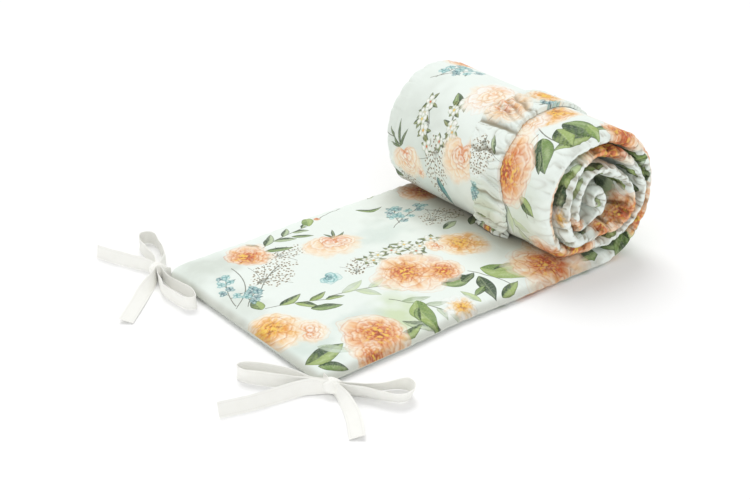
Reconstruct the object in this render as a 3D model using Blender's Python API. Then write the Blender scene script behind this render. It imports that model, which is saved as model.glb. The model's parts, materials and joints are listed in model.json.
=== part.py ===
"""Padded crib bumper: the free end lies flat, the rest of the strip is rolled up on it.

The strip is a filled cotton panel about 1.5 m long and 0.30 m wide. Its free end is at -X and
its roll at +X, with the roll's axis along Y. Seen from -Y the flat run passes under the roll, up
its +X side, over the top and down to the crease on the flat run, and then winds on inside. A
gathered strap of the same cloth crosses the roll's outer face, and each corner of the free end
has a tape tied in a bow. Units are metres, +Z is up, and the floor is z = 0.
"""
import math

import bmesh
import bpy
import numpy as np
from mathutils import Vector

# Padded strip
STRIP_WIDTH = 0.300
FREE_END_X = -0.302
ROLL_AXIS_X = 0.0970
PAD_FLAT = 0.0170
PAD_ROLLED = 0.0150
PAD_CORE = 0.0120
SQUEEZE_DEGREES = 25.0
SEAM_THICKNESS = 0.0022
SEAM_DROP = 0.0030
CORNER_RADIUS = 0.020
END_SLOPE = 0.030
INNER_END_SLOPE = 0.050
END_STATIONS = (0.0, 0.0015, 0.005, 0.010, 0.017, 0.026)
FLAT_STEP = 0.022

# Roll: nearly round wraps, each stepping in to the next one where it meets the flat run
ROLL_HALF_WIDTH = 0.0774
ROLL_HALF_HEIGHT = 0.0808
WRAP_PITCH = 0.0187
WRAP_NARROWING = 0.0045
NARROW_DEGREES = 78.0
NARROW_SPREAD = 78.0
WRAPS = 3
LOW_BULGE = 0.0025
LOW_BULGE_DEGREES = 315.0
LOW_BULGE_SPREAD = 45.0
BEND_SOFTNESS = 0.0090
BEND_SWELL = 0.04
BEND_STEP_SHARE = 0.5
BEND_ZONE_DEGREES = (290.0, 345.0)
CORE_DEGREES = 395.0
CORE_PITCH = 0.0138
TURN_STEPS_DEGREES = (12.0, 14.0, 17.0, 20.0, 20.0)
CORE_SAG = (-0.0030, -0.0040)
PRESSED_DEGREES = 60.0

# Filled section: how far out the filling stays full (top, underside, free end) and how it falls
TOP_CROWN = 6.0
UNDER_CROWN = 12.0
END_CROWN = 2.2
CROWN_FALL = 0.55

# Unevenness of the filling
TOP_RIPPLE = 0.0011
ROLL_RIPPLE = 0.0006
SEAM_JITTER = 0.0012
SEED = 7
RIPPLE_SLANT = 1.5
RIPPLES = (
    # share, waves along, phase, waves across, phase
    (0.6, 11.3, 0.21, 7.5, 0.13),
    (0.4, 19.7, 0.05, 14.0, 0.31),
)

# Gathered strap on the outermost wrap
BAND_START_DEGREES = 24.0
BAND_LEAVE_DEGREES = 314.0
BAND_LYING_LENGTH = 0.010
BAND_STEP = 0.0042
BAND_CLOTH = 0.0016
BAND_PLEAT = 0.0028
BAND_PLEAT_PITCH = 0.0135
BAND_BUNCH = 0.0060
BAND_CALM_ZONE = (0.068, 0.170)
BAND_GAP = 0.0006
BAND_FOLD_STEPS = 6
BAND_LYING_STEPS = 5
BAND_SAMPLES = (-1.0, -0.86, -0.5, 0.0, 0.5, 0.86, 1.0)
BAND_PLAIN_LENGTH = 0.012
BAND_FOLD_REACH = (0.005, 0.014)
BAND_UNDER_SHARE = 0.6
# Waves of the strap: size, then radians for each metre along and across it
BAND_DRIFT = ((0.30, 31.0, 0.0), (0.22, 18.0, 70.0))
BAND_FADE = (0.28, 77.0, 50.0)
BAND_EDGE_WAVE = (0.0012, 140.0)
BAND_EDGES = (
    # turned angle, middle of the strap across the roll, half its width
    (24.0, 0.1220, 0.0250),
    (160.0, 0.1220, 0.0245),
    (190.0, 0.1215, 0.0240),
    (207.0, 0.1285, 0.0285),
    (222.0, 0.1265, 0.0290),
    (238.0, 0.1250, 0.0255),
    (254.0, 0.1200, 0.0235),
    (270.0, 0.1135, 0.0235),
    (286.0, 0.1095, 0.0260),
    (296.0, 0.1110, 0.0260),
    (314.0, 0.1215, 0.0260),
)

# Ties
TAPE_WIDTH = 0.0160
TAPE_THICKNESS = 0.0016
TAPE_FLOOR = 0.0003
TAPE_STAGGER = 0.0001
SEWN_TAPE_WIDTH = 0.0120
SEWN_TAPE_RISE = 0.0004
ROUTE_STEPS = 4
KNOT_RADII = (0.0095, 0.0080, 0.0082)
KNOT_SQUARENESS = 0.8
KNOT_SEGMENTS = (14, 9)
PIECE_GAP = 0.0004

# How far the strip's two long edges lie inside its full width, at distances along the strip
EDGE_INSETS = (
    # along, near, far
    (0.00, 0.000, 0.009),
    (0.10, 0.001, 0.008),
    (0.19, 0.005, 0.005),
    (0.29, 0.002, 0.006),
    (0.40, 0.000, 0.003),
    (0.46, 0.001, 0.001),
    (0.52, 0.003, 0.001),
    (0.58, 0.003, 0.002),
    (0.63, 0.010, 0.000),
    (0.68, 0.020, 0.001),
    (0.74, 0.022, 0.002),
    (0.78, 0.017, 0.003),
    (0.82, 0.011, 0.004),
    (0.86, 0.003, 0.003),
    (0.93, -0.003, 0.005),
    (0.98, 0.004, 0.005),
    (1.03, 0.014, 0.004),
    (1.11, 0.010, 0.007),
    (1.17, 0.002, 0.004),
    (1.23, -0.004, 0.007),
    (1.27, 0.004, 0.007),
    (1.32, 0.013, 0.006),
    (1.38, 0.012, 0.008),
    (1.52, 0.015, 0.009),
)

# Samples of the cross-section over half the strip's width
WIDTH_SAMPLES = (0.27, 0.53, 0.77, 0.90, 0.97, 1.0)

# Bow tapes: the foot of each tape's path on the floor, and its lean from upright to the left of
# the path, in degrees
FRONT_KNOT = (-0.2985, -0.0130)
FRONT_CORNER = (-0.2935, 0.0085)
FRONT_TAPES = {
    "left_tail": (
        (-0.2985, -0.0130, 0.0),
        (-0.3110, -0.0060, -22.0),
        (-0.3240, 0.0010, -30.0),
        (-0.3480, 0.0050, -30.0),
        (-0.3790, 0.0110, -30.0),
        (-0.4080, 0.0200, -28.0),
    ),
    "left_loop": (
        (-0.2965, -0.0120, 0.0),
        (-0.3105, 0.0030, 0.0),
        (-0.3160, 0.0230, 0.0),
        (-0.3300, 0.0490, 0.0),
        (-0.3460, 0.0680, 0.0),
        (-0.3560, 0.0680, 0.0),
        (-0.3540, 0.0560, 0.0),
        (-0.3400, 0.0350, 0.0),
        (-0.3215, 0.0140, 0.0),
        (-0.3005, -0.0140, 0.0),
    ),
    "right_loop": (
        (-0.2975, -0.0115, 0.0),
        (-0.2850, -0.0240, 0.0),
        (-0.2640, -0.0365, 0.0),
        (-0.2460, -0.0465, 0.0),
        (-0.2390, -0.0570, 0.0),
        (-0.2460, -0.0675, 0.0),
        (-0.2580, -0.0670, 0.0),
        (-0.2680, -0.0540, 0.0),
        (-0.2790, -0.0370, 0.0),
        (-0.2995, -0.0145, 0.0),
    ),
    "right_tail": (
        (-0.2985, -0.0130, 0.0),
        (-0.3025, -0.0250, 15.0),
        (-0.3100, -0.0430, 45.0),
        (-0.3200, -0.0620, 68.0),
        (-0.3345, -0.0845, 76.0),
    ),
}
BACK_KNOT = (-0.3070, 0.2960)
BACK_CORNER = (-0.2945, 0.2835)
BACK_TAPES = {
    "left_tail": (
        (-0.3070, 0.2960, 0.0),
        (-0.3110, 0.3150, -8.0),
        (-0.3220, 0.3350, -14.0),
        (-0.3310, 0.3560, -16.0),
        (-0.3390, 0.3780, -16.0),
    ),
    "rear_loop": (
        (-0.3090, 0.2965, 0.0),
        (-0.2985, 0.3170, 0.0),
        (-0.2950, 0.3400, 0.0),
        (-0.2910, 0.3620, 0.0),
        (-0.2820, 0.3740, 0.0),
        (-0.2720, 0.3690, 0.0),
        (-0.2730, 0.3520, 0.0),
        (-0.2810, 0.3300, 0.0),
        (-0.2890, 0.3120, 0.0),
        (-0.3050, 0.2955, 0.0),
    ),
    "lower_tail": (
        (-0.3070, 0.2960, 0.0),
        (-0.3200, 0.2800, -20.0),
        (-0.3390, 0.2620, -55.0),
        (-0.3600, 0.2430, -72.0),
        (-0.3820, 0.2240, -76.0),
    ),
    "front_loop": (
        (-0.3050, 0.2970, 0.0),
        (-0.3110, 0.2680, 0.0),
        (-0.3085, 0.2440, 0.0),
        (-0.3080, 0.2220, 0.0),
        (-0.3130, 0.2090, 0.0),
        (-0.3220, 0.2140, 0.0),
        (-0.3250, 0.2340, 0.0),
        (-0.3240, 0.2600, 0.0),
        (-0.3090, 0.2950, 0.0),
    ),
}

# Colours, linear
PRINTED_COTTON = (0.80, 0.87, 0.84, 1.0)
IVORY_TAPE = (0.88, 0.87, 0.80, 1.0)
CLOTH_ROUGHNESS = 0.92
SHARP_EDGE_DEGREES = 50.0


def clear_scene():
    for item in list(bpy.data.objects):
        bpy.data.objects.remove(item, do_unlink=True)


def cloth_material(name, colour):
    material = bpy.data.materials.new(name)
    material.use_nodes = True
    shader = material.node_tree.nodes["Principled BSDF"]
    shader.inputs["Base Color"].default_value = colour
    shader.inputs["Roughness"].default_value = CLOTH_ROUGHNESS
    shader.inputs["Metallic"].default_value = 0.0
    return material


def smooth_step(value):
    value = min(1.0, max(0.0, value))
    return value * value * (3.0 - 2.0 * value)


def eased(rows, column, along):
    """Read a table's column at a distance, easing from row to row."""
    for before, after in zip(rows, rows[1:]):
        if along <= after[0]:
            blend = smooth_step((along - before[0]) / (after[0] - before[0]))
            return before[column] + (after[column] - before[column]) * blend
    return rows[-1][column]


def crown(fraction, sharpness):
    """Rise of the filling at a fraction of the way out to a seam: 1 in the middle, 0 there."""
    inside = max(0.0, 1.0 - abs(fraction) ** sharpness)
    return inside ** CROWN_FALL


def ripple(along, across):
    """Broad unevenness of the filling, between -1 and 1; the waves are counted per metre."""
    total = 0.0
    for share, long_waves, long_phase, cross_waves, cross_phase in RIPPLES:
        lengthwise = math.sin(2.0 * math.pi * (along * long_waves + across * RIPPLE_SLANT + long_phase))
        total += share * lengthwise * math.sin(2.0 * math.pi * (across * cross_waves + cross_phase))
    return total


def roll_centre(turned):
    """Centre of a wrap at an angle turned from the floor; the inner wraps sag a little."""
    sunk = max(0.0, turned - 360.0) / (WRAPS * 360.0 + CORE_DEGREES - 360.0)
    return ROLL_AXIS_X + CORE_SAG[0] * sunk, ROLL_HALF_HEIGHT + CORE_SAG[1] * sunk


def low_bulge(turned):
    """How much the roll sags out, 0 to 1, where it comes down to the flat run."""
    off = (turned % 360.0 - LOW_BULGE_DEGREES) / LOW_BULGE_SPREAD
    return math.cos(off * math.pi / 2.0) ** 2 if abs(off) < 1.0 else 0.0


def soft_minimum(one, other, softness):
    blend = min(1.0, max(0.0, 0.5 + 0.5 * (other - one) / softness))
    return other + (one - other) * blend - softness * blend * (1.0 - blend)


def wrap_pitch(turned):
    """Room for one wrap: less low on the side away from the flat run, where the roll is pressed."""
    off = (turned % 360.0 - NARROW_DEGREES) / NARROW_SPREAD
    narrowed = math.cos(off * math.pi / 2.0) ** 2 if abs(off) < 1.0 else 0.0
    return WRAP_PITCH - WRAP_NARROWING * narrowed


def outer_radius(turned):
    """Distance from the wrap's centre to the outer face of the strip.

    Each wrap is an ellipse that bends, low on its flat-run side, onto a level line one pitch
    above the wrap before it. The last stretch curls on inwards as the core.
    """
    down = math.radians(turned)
    ellipse = 1.0 / math.hypot(math.sin(down) / ROLL_HALF_WIDTH, math.cos(down) / ROLL_HALF_HEIGHT)
    whole, within = divmod(turned, 360.0)
    if whole >= WRAPS:
        curled = turned / 360.0 - WRAPS
        return ellipse - WRAPS * WRAP_PITCH - curled * CORE_PITCH
    outline = ellipse + LOW_BULGE * low_bulge(turned)
    if within > 270.0:
        level = (ROLL_HALF_HEIGHT - WRAP_PITCH) / math.cos(down)
        outline = soft_minimum(outline, level, BEND_SOFTNESS)
    return outline - whole * wrap_pitch(turned)


def radial(turned):
    """Unit vector from the roll's centre; an angle of 0 points straight down."""
    angle = math.radians(turned - 90.0)
    return math.cos(angle), math.sin(angle)


def pad_thickness(turned):
    """Thickness of the filled strip: full on the flat run, pressed in the roll."""
    if turned < 0.0:
        squeezed = smooth_step(1.0 + turned / SQUEEZE_DEGREES)
        return PAD_FLAT + (PAD_ROLLED - PAD_FLAT) * squeezed
    wound = turned / (WRAPS * 360.0 + CORE_DEGREES)
    pad = PAD_ROLLED + (PAD_CORE - PAD_ROLLED) * wound
    if turned < WRAPS * 360.0:
        pad *= 1.0 + BEND_SWELL * low_bulge(turned)
        pad -= WRAP_PITCH - wrap_pitch(turned)
    return pad


def flat_distances():
    """Stations on the flat run, close together where the free end thins to its seam."""
    length = ROLL_AXIS_X - FREE_END_X
    last = END_STATIONS[-1]
    count = round((length - last) / FLAT_STEP)
    return list(END_STATIONS) + list(np.linspace(last, length, count + 1)[1:])


def turned_angles():
    """Stations in the roll: longer steps in the tighter wraps, shorter ones at the low bends."""
    angles = [0.0]
    last = WRAPS * 360.0 + CORE_DEGREES
    while angles[-1] < last:
        step = TURN_STEPS_DEGREES[int(angles[-1] // 360.0)]
        in_bend = BEND_ZONE_DEGREES[0] < angles[-1] % 360.0 < BEND_ZONE_DEGREES[1]
        if in_bend and angles[-1] < WRAPS * 360.0:
            step *= BEND_STEP_SHARE
        angles.append(min(angles[-1] + step, last))
    return angles


def strip_stations():
    """Stations along the strip: distance, middle point, inward normal, thickness, turned angle."""
    length = ROLL_AXIS_X - FREE_END_X
    stations = []
    for along in flat_distances():
        turned = math.degrees((along - length) / ROLL_HALF_HEIGHT)
        pad = pad_thickness(turned)
        stations.append((along, (FREE_END_X + along, pad / 2.0), (0.0, 1.0), pad, turned))
    for turned in turned_angles()[1:]:
        pad = pad_thickness(turned)
        out = radial(turned)
        centre = roll_centre(turned)
        reach = outer_radius(turned) - pad / 2.0
        middle = (centre[0] + out[0] * reach, centre[1] + out[1] * reach)
        before = stations[-1]
        along = before[0] + math.dist(before[1], middle)
        stations.append((along, middle, (-out[0], -out[1]), pad, turned))
    return stations


def corner_inset(along):
    if along >= CORNER_RADIUS:
        return 0.0
    return CORNER_RADIUS - math.sqrt(CORNER_RADIUS ** 2 - (CORNER_RADIUS - along) ** 2)


def strip_ring(station, total, noise):
    """One closed cross-section of the filled strip, top face first, then the underside."""
    along, middle, normal, pad, turned = station
    corner = corner_inset(along)
    near = eased(EDGE_INSETS, 1, along) + corner
    far = STRIP_WIDTH - eased(EDGE_INSETS, 2, along) - corner
    from_end = min(along / END_SLOPE, (total - along) / INNER_END_SLOPE, 1.0)
    end_rise = crown(1.0 - from_end, END_CROWN)
    in_roll = smooth_step(turned / PRESSED_DEGREES)
    seam = -SEAM_DROP * (1.0 - in_roll) + noise * SEAM_JITTER * in_roll * end_rise
    half_seam = SEAM_THICKNESS / 2.0
    widths = [-w for w in reversed(WIDTH_SAMPLES)] + [0.0] + list(WIDTH_SAMPLES)

    def point(across, height):
        return (middle[0] + normal[0] * height, across, middle[1] + normal[1] * height)

    def face(sharpness, side, wave):
        points = []
        for width in widths:
            across = (near + far) / 2.0 + width * (far - near) / 2.0
            rise = crown(width, sharpness) * end_rise
            full = pad / 2.0 - side * seam - half_seam
            calm = 0.0 if BAND_CALM_ZONE[0] < across < BAND_CALM_ZONE[1] else 1.0
            lift = wave * ripple(along, across) * rise * calm
            points.append(point(across, seam + side * (half_seam + full * rise + lift)))
        return points

    top = face(TOP_CROWN, 1.0, TOP_RIPPLE * (1.0 - in_roll) + ROLL_RIPPLE * in_roll)
    under = face(UNDER_CROWN, -1.0, ROLL_RIPPLE * in_roll)
    return top + under[::-1]


def loft(name, rings, material):
    """Close a row of equal rings into one body with flat ends."""
    shape = bmesh.new()
    rows = [[shape.verts.new(point) for point in ring] for ring in rings]
    count = len(rows[0])
    for row, following in zip(rows, rows[1:]):
        for index in range(count):
            after = (index + 1) % count
            shape.faces.new((row[index], row[after], following[after], following[index]))
    shape.faces.new(rows[0][::-1])
    shape.faces.new(rows[-1])
    bmesh.ops.recalc_face_normals(shape, faces=shape.faces)
    mesh = bpy.data.meshes.new(name)
    shape.to_mesh(mesh)
    shape.free()
    mesh.shade_smooth()
    mesh.set_sharp_from_angle(angle=math.radians(SHARP_EDGE_DEGREES))
    mesh.materials.append(material)
    item = bpy.data.objects.new(name, mesh)
    bpy.context.collection.objects.link(item)
    return item


def build_bumper(material):
    stations = strip_stations()
    total = stations[-1][0]
    noise = np.random.default_rng(SEED).uniform(-1.0, 1.0, len(stations))
    rings = [strip_ring(station, total, jitter) for station, jitter in zip(stations, noise)]
    return loft("bumper", rings, material)


def band_path():
    """Foot of the strap: distance, point by the roll or flat run, outward normal, turned angle."""
    path = []
    along = 0.0
    turned = BAND_START_DEGREES
    while turned < BAND_LEAVE_DEGREES:
        out = radial(turned)
        reach = outer_radius(turned) + BAND_GAP
        foot = (ROLL_AXIS_X + out[0] * reach, ROLL_HALF_HEIGHT + out[1] * reach)
        path.append((along, foot, out, turned))
        along += BAND_STEP
        turned += math.degrees(BAND_STEP / reach)
    out = path[-1][2]
    leave = path[-1][1]
    floor = PAD_FLAT + BAND_GAP
    bend = (leave[1] - floor) / (1.0 - out[1])
    centre = (leave[0] + out[0] * bend, leave[1] + out[1] * bend)
    start = math.atan2(-out[1], -out[0])
    sweep = start + math.pi / 2.0
    for step in range(1, BAND_FOLD_STEPS + 1):
        angle = start - sweep * step / BAND_FOLD_STEPS
        side = (math.cos(angle), math.sin(angle))
        along += bend * sweep / BAND_FOLD_STEPS
        foot = (centre[0] + side[0] * bend, centre[1] + side[1] * bend)
        path.append((along, foot, (-side[0], -side[1]), BAND_LEAVE_DEGREES))
    fold = path[-1]
    for step in range(1, BAND_LYING_STEPS + 1):
        moved = BAND_LYING_LENGTH * step / BAND_LYING_STEPS
        foot = (fold[1][0] - moved, fold[1][1])
        path.append((along + moved, foot, (0.0, 1.0), BAND_LEAVE_DEGREES))
    return path, fold[0]


def pleat(along, across):
    """Rounded pleats that run across the strap, unevenly spaced; 0 in a valley, 1 on a crest."""
    drift = sum(size * math.sin(along * lengthwise + across * crosswise)
                for size, lengthwise, crosswise in BAND_DRIFT)
    wave = 0.5 + 0.5 * math.cos(2.0 * math.pi * (along / BAND_PLEAT_PITCH + drift))
    fade, lengthwise, crosswise = BAND_FADE
    return wave ** 0.7 * (1.0 - fade + fade * math.sin(along * lengthwise + across * crosswise))


def band_ring(place, fold, total):
    """One closed cross-section of the strap: its underside, then its pleated face."""
    along, foot, normal, turned = place
    to_fold = along - fold
    plain = smooth_step(min(along, total - along) / BAND_PLAIN_LENGTH)
    turning = smooth_step(abs(to_fold + BAND_FOLD_REACH[0]) / BAND_FOLD_REACH[1])
    height = BAND_PLEAT * plain * turning
    if to_fold > 0.0:
        height = BAND_BUNCH * max(0.0, math.sin(math.pi * to_fold / BAND_LYING_LENGTH)) ** 0.7
    middle = eased(BAND_EDGES, 1, turned)
    half = eased(BAND_EDGES, 2, turned) + BAND_EDGE_WAVE[0] * math.sin(along * BAND_EDGE_WAVE[1])
    flat = BAND_CLOTH * BAND_UNDER_SHARE
    under = []
    face = []
    for width in BAND_SAMPLES:
        across = middle + width * half
        rise = flat + (BAND_CLOTH - flat + height * pleat(along, across)) * crown(width, 4.0)
        under.append((foot[0], across, foot[1]))
        face.append((foot[0] + normal[0] * rise, across, foot[1] + normal[1] * rise))
    return under + face[::-1]


def build_band(material):
    path, fold = band_path()
    total = path[-1][0]
    rings = [band_ring(place, fold, total) for place in path]
    return loft("gathered_band", rings, material)


def smooth_route(rows):
    """Pass a Catmull-Rom curve through a table's rows."""
    table = np.array(rows, dtype=float)
    padded = np.vstack((2.0 * table[0] - table[1], table, 2.0 * table[-1] - table[-2]))
    route = []
    for index in range(1, len(padded) - 2):
        before, start, end, after = padded[index - 1:index + 3]
        for step in range(ROUTE_STEPS):
            t = step / ROUTE_STEPS
            route.append(0.5 * (2.0 * start + (end - before) * t
                                + (2.0 * before - 5.0 * start + 4.0 * end - after) * t ** 2
                                + (3.0 * start - before - 3.0 * end + after) * t ** 3))
    route.append(table[-1])
    return route


def tape_rings(rows, floor, height):
    """Cross-sections of a tape whose lower edge follows a route on the floor."""
    route = smooth_route(rows)
    rings = []
    for index, (x, y, lean) in enumerate(route):
        ahead = route[min(index + 1, len(route) - 1)]
        behind = route[max(index - 1, 0)]
        run = Vector((ahead[0] - behind[0], ahead[1] - behind[1], 0.0)).normalized()
        left = Vector((-run.y, run.x, 0.0))
        tilt = math.radians(lean)
        up = Vector((0.0, 0.0, math.cos(tilt))) + left * math.sin(tilt)
        side = left * math.cos(tilt) - Vector((0.0, 0.0, math.sin(tilt)))
        half = side * TAPE_THICKNESS / 2.0
        foot = Vector((x, y, floor + abs(half.z)))
        rings.append([foot - half, foot + half, foot + half + up * height, foot - half + up * height])
    return rings


def make_knot(name, place, material):
    mesh = bpy.data.meshes.new(name)
    shape = bmesh.new()
    around, up = KNOT_SEGMENTS
    bmesh.ops.create_uvsphere(shape, u_segments=around, v_segments=up, radius=1.0)
    for vertex in shape.verts:
        squared = [math.copysign(abs(value) ** KNOT_SQUARENESS, value) for value in vertex.co]
        vertex.co = [value * radius for value, radius in zip(squared, KNOT_RADII)]
        vertex.co += Vector((place[0], place[1], KNOT_RADII[2] + TAPE_FLOOR))
    shape.to_mesh(mesh)
    shape.free()
    mesh.shade_smooth()
    mesh.materials.append(material)
    item = bpy.data.objects.new(name, mesh)
    bpy.context.collection.objects.link(item)
    return item


def hide_as_tool(item):
    item.hide_render = True
    item.display_type = "WIRE"


def add_boolean(item, tool, operation):
    modifier = item.modifiers.new(f"{operation.lower()}_{tool.name}", "BOOLEAN")
    modifier.operation = operation
    modifier.solver = "EXACT"
    modifier.object = tool


def bumper_clearance(bumper):
    """The strip a little swollen: what is cut by it keeps a gap to the strip."""
    item = bumper.copy()
    item.name = "strip_clearance"
    bpy.context.collection.objects.link(item)
    swell = item.modifiers.new("swell", "DISPLACE")
    swell.strength = PIECE_GAP
    swell.mid_level = 0.0
    hide_as_tool(item)
    return item


def build_tie(name, knot, corner, tapes, clearance, material):
    """A tape sewn to a corner of the strip and tied in a bow: knot, two loops and two tails."""
    item = make_knot(name, knot, material)
    floor = TAPE_FLOOR
    for label, rows in tapes.items():
        tape = loft(f"{name}_{label}", tape_rings(rows, floor, TAPE_WIDTH), material)
        hide_as_tool(tape)
        add_boolean(item, tape, "UNION")
        floor += TAPE_STAGGER
    sewn = ((knot[0], knot[1], 0.0), (corner[0], corner[1], 0.0))
    rings = tape_rings(sewn, floor + SEWN_TAPE_RISE, SEWN_TAPE_WIDTH)
    stub = loft(f"{name}_sewn_end", rings, material)
    hide_as_tool(stub)
    add_boolean(item, stub, "UNION")
    add_boolean(item, clearance, "DIFFERENCE")
    return item


def stand_on_origin(items):
    """Hang everything on one empty, with the whole part's bounding box centred over the origin."""
    scene = bpy.context.evaluated_depsgraph_get()
    points = []
    for item in items:
        seen = item.evaluated_get(scene)
        points += [seen.matrix_world @ vertex.co for vertex in seen.data.vertices]
    low = Vector(min(point[axis] for point in points) for axis in range(3))
    high = Vector(max(point[axis] for point in points) for axis in range(3))
    root = bpy.data.objects.new("crib_bumper", None)
    bpy.context.collection.objects.link(root)
    for item in bpy.data.objects:
        if item != root:
            item.parent = root
    root.location = (-(low.x + high.x) / 2.0, -(low.y + high.y) / 2.0, -low.z)


def main():
    clear_scene()
    print_cloth = cloth_material("printed_cotton", PRINTED_COTTON)
    tape_cloth = cloth_material("ivory_tape", IVORY_TAPE)
    bumper = build_bumper(print_cloth)
    band = build_band(print_cloth)
    clearance = bumper_clearance(bumper)
    front = build_tie("tie_front", FRONT_KNOT, FRONT_CORNER, FRONT_TAPES, clearance, tape_cloth)
    back = build_tie("tie_back", BACK_KNOT, BACK_CORNER, BACK_TAPES, clearance, tape_cloth)
    bpy.context.view_layer.update()
    stand_on_origin((bumper, band, front, back))


main()
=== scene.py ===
"""Looks of a padded crib bumper: printed cotton strip, part rolled up, strap and tape bows.

The strip's surface is a function of the distance along it and the place across it, with the same
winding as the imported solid. Its print is painted on the mesh's points from short tables of
ordinary blossoms, leaves and sprigs, and the material sharpens the edges. Units are metres, but
for the tables in text, whose numbers are whole millimetres or tenths of them.
"""
import json
import math

import bpy
import numpy as np
from mathutils import Matrix, Vector

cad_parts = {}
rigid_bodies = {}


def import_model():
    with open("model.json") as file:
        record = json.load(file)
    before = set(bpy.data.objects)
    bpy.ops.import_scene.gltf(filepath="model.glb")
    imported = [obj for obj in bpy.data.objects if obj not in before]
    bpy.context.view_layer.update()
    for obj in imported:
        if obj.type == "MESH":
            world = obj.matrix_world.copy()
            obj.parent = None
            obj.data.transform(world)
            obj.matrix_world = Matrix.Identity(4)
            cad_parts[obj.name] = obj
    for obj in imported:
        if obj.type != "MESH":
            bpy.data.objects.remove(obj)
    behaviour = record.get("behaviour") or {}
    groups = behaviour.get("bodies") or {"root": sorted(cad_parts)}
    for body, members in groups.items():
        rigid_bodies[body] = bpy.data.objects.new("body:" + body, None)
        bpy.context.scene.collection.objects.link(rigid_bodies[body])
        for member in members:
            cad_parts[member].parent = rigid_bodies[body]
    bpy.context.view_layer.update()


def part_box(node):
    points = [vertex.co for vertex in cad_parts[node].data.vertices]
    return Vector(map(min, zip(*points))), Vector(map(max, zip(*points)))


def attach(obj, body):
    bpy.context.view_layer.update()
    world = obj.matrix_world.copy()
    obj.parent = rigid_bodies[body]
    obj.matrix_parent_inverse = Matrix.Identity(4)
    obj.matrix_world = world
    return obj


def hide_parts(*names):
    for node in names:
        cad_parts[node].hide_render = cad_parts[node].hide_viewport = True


# how many of a text table's units make one metre, one whole, one degree or one face
MM, TENTHS, PERCENT, DEGREES, FACE = 1000.0, 10000.0, 100.0, 1.0, 1.0


def table(text, *units):
    """Rows of numbers from text: commas part the rows, and each column is divided by its unit."""
    return tuple(tuple(float(word) / unit for word, unit in zip(row.split(), units))
                 for row in text.split(","))


def motifs(text):
    """Rows of a print from text: kind, along, across, direction, size, and what the kind takes.

    Semicolons part the rows. The first numbers are in millimetres and degrees. Of the others one
    with a point is a share, or a size in metres, and a whole one a count, an angle or a seed.
    """
    rows = []
    for row in text.split(";"):
        kind, at, over, degrees, size, *more = row.split()
        more = tuple(word if word[-1].isalpha() else float(word) if "." in word else int(word)
                     for word in more)
        rows.append((kind, float(at) / MM, float(over) / MM, float(degrees), float(size) / MM, more))
    return tuple(rows)


# ---------------------------------------------------------------- the winding, as in the solid
STRIP_WIDTH = 0.300
FREE_END_X = -0.302
ROLL_AXIS_X = 0.0970
PAD_FLAT = 0.0170
PAD_ROLLED = 0.0168
PAD_CORE = 0.0132
SQUEEZE_DEGREES = 25.0
SEAM_HALF = 0.0003
SEAM_DROP = 0.0036
CORNER_RADIUS = 0.020
END_SLOPE = 0.030
INNER_END_SLOPE = 0.040
ROLL_HALF_WIDTH = 0.0774
ROLL_HALF_HEIGHT = 0.0808
WRAP_PITCH = 0.0187
WRAP_NARROWING = 0.0045
NARROW_DEGREES = 78.0
NARROW_SPREAD = 78.0
WRAPS = 3
LOW_BULGE = 0.0025
LOW_BULGE_DEGREES = 315.0
LOW_BULGE_SPREAD = 45.0
BEND_SOFTNESS = 0.0090
CORE_DEGREES = 395.0
CORE_PITCH = 0.0138
CORE_SAG = (-0.0030, -0.0040)
FLAT_LENGTH = ROLL_AXIS_X - FREE_END_X
LAST_DEGREES = WRAPS * 360.0 + CORE_DEGREES
# along, near and far
EDGE_INSETS = table("""
    0 0 9, 100 1 8, 190 5 5, 290 2 6, 400 0 3, 460 1 1, 520 3 1, 580 3 2, 630 10 0, 680 20 1,
    740 22 2, 780 17 3, 820 11 4, 860 3 3, 930 -3 5, 980 4 5, 1030 14 4, 1110 10 7, 1170 2 4,
    1230 -4 7, 1270 4 7, 1320 13 6, 1380 12 8, 1520 15 9""", MM, MM, MM)

# ---------------------------------------------------------------- filling and puckers
EDGE_ROUND = 0.0105
# along, depth and reach of the long troughs at the seams, and depth of the short gathers
PUCKERS = table("""
    0 14 12 4, 250 28 16 9, 420 50 17 22, 600 48 16 24, 750 36 14 18, 860 62 17 34, 1200 72 19 40,
    1300 60 16 34, 1520 40 13 26""", MM, TENTHS, MM, TENTHS)
PUCKER_PITCH = 0.0175
GATHER_PITCH = 0.0078
GATHER_REACH = 0.0105
NEAR_SEED = 11
FAR_SEED = 23
LOWEST = 0.0002
COTTON_PITCH = 0.00055
BAND_CENTRE_Y = 0.1250
BAND_HALF_WIDTH = 0.0290
# turned, centre, half width, fullness of the pleats
BAND_EDGES = table("""
    24 1220 250 80, 160 1220 245 80, 190 1215 240 100, 207 1285 285 100, 222 1265 290 85,
    238 1250 255 75, 254 1200 235 55, 270 1135 235 42, 286 1095 260 50, 296 1110 260 70,
    314 1215 260 95""", DEGREES, TENTHS, TENTHS, PERCENT)
# turned angle at the far and at the near edge, width, depth
BAND_FOLDS = table("""
    150 158 30 26, 187 199 34 32, 193.5 206 28 26, 200 212 28 22, 220 217 34 44, 243 238 30 34,
    257 263 24 20, 273 277 30 36, 289 286 22 18, 301 303 30 34""", DEGREES, DEGREES, TENTHS, TENTHS)
BAND_START_DEGREES = 24.0
BAND_LEAVE_DEGREES = 314.0
BAND_LYING_LENGTH = 0.010
BAND_STEP = 0.0010
BAND_CLOTH = 0.0012
BAND_PLEAT = 0.0066
BAND_PLEAT_PITCH = 0.0105
BAND_DEEPEST_FOLD = 0.0044
BAND_BUNCH = 0.0075
BAND_GAP = 0.0006

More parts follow.
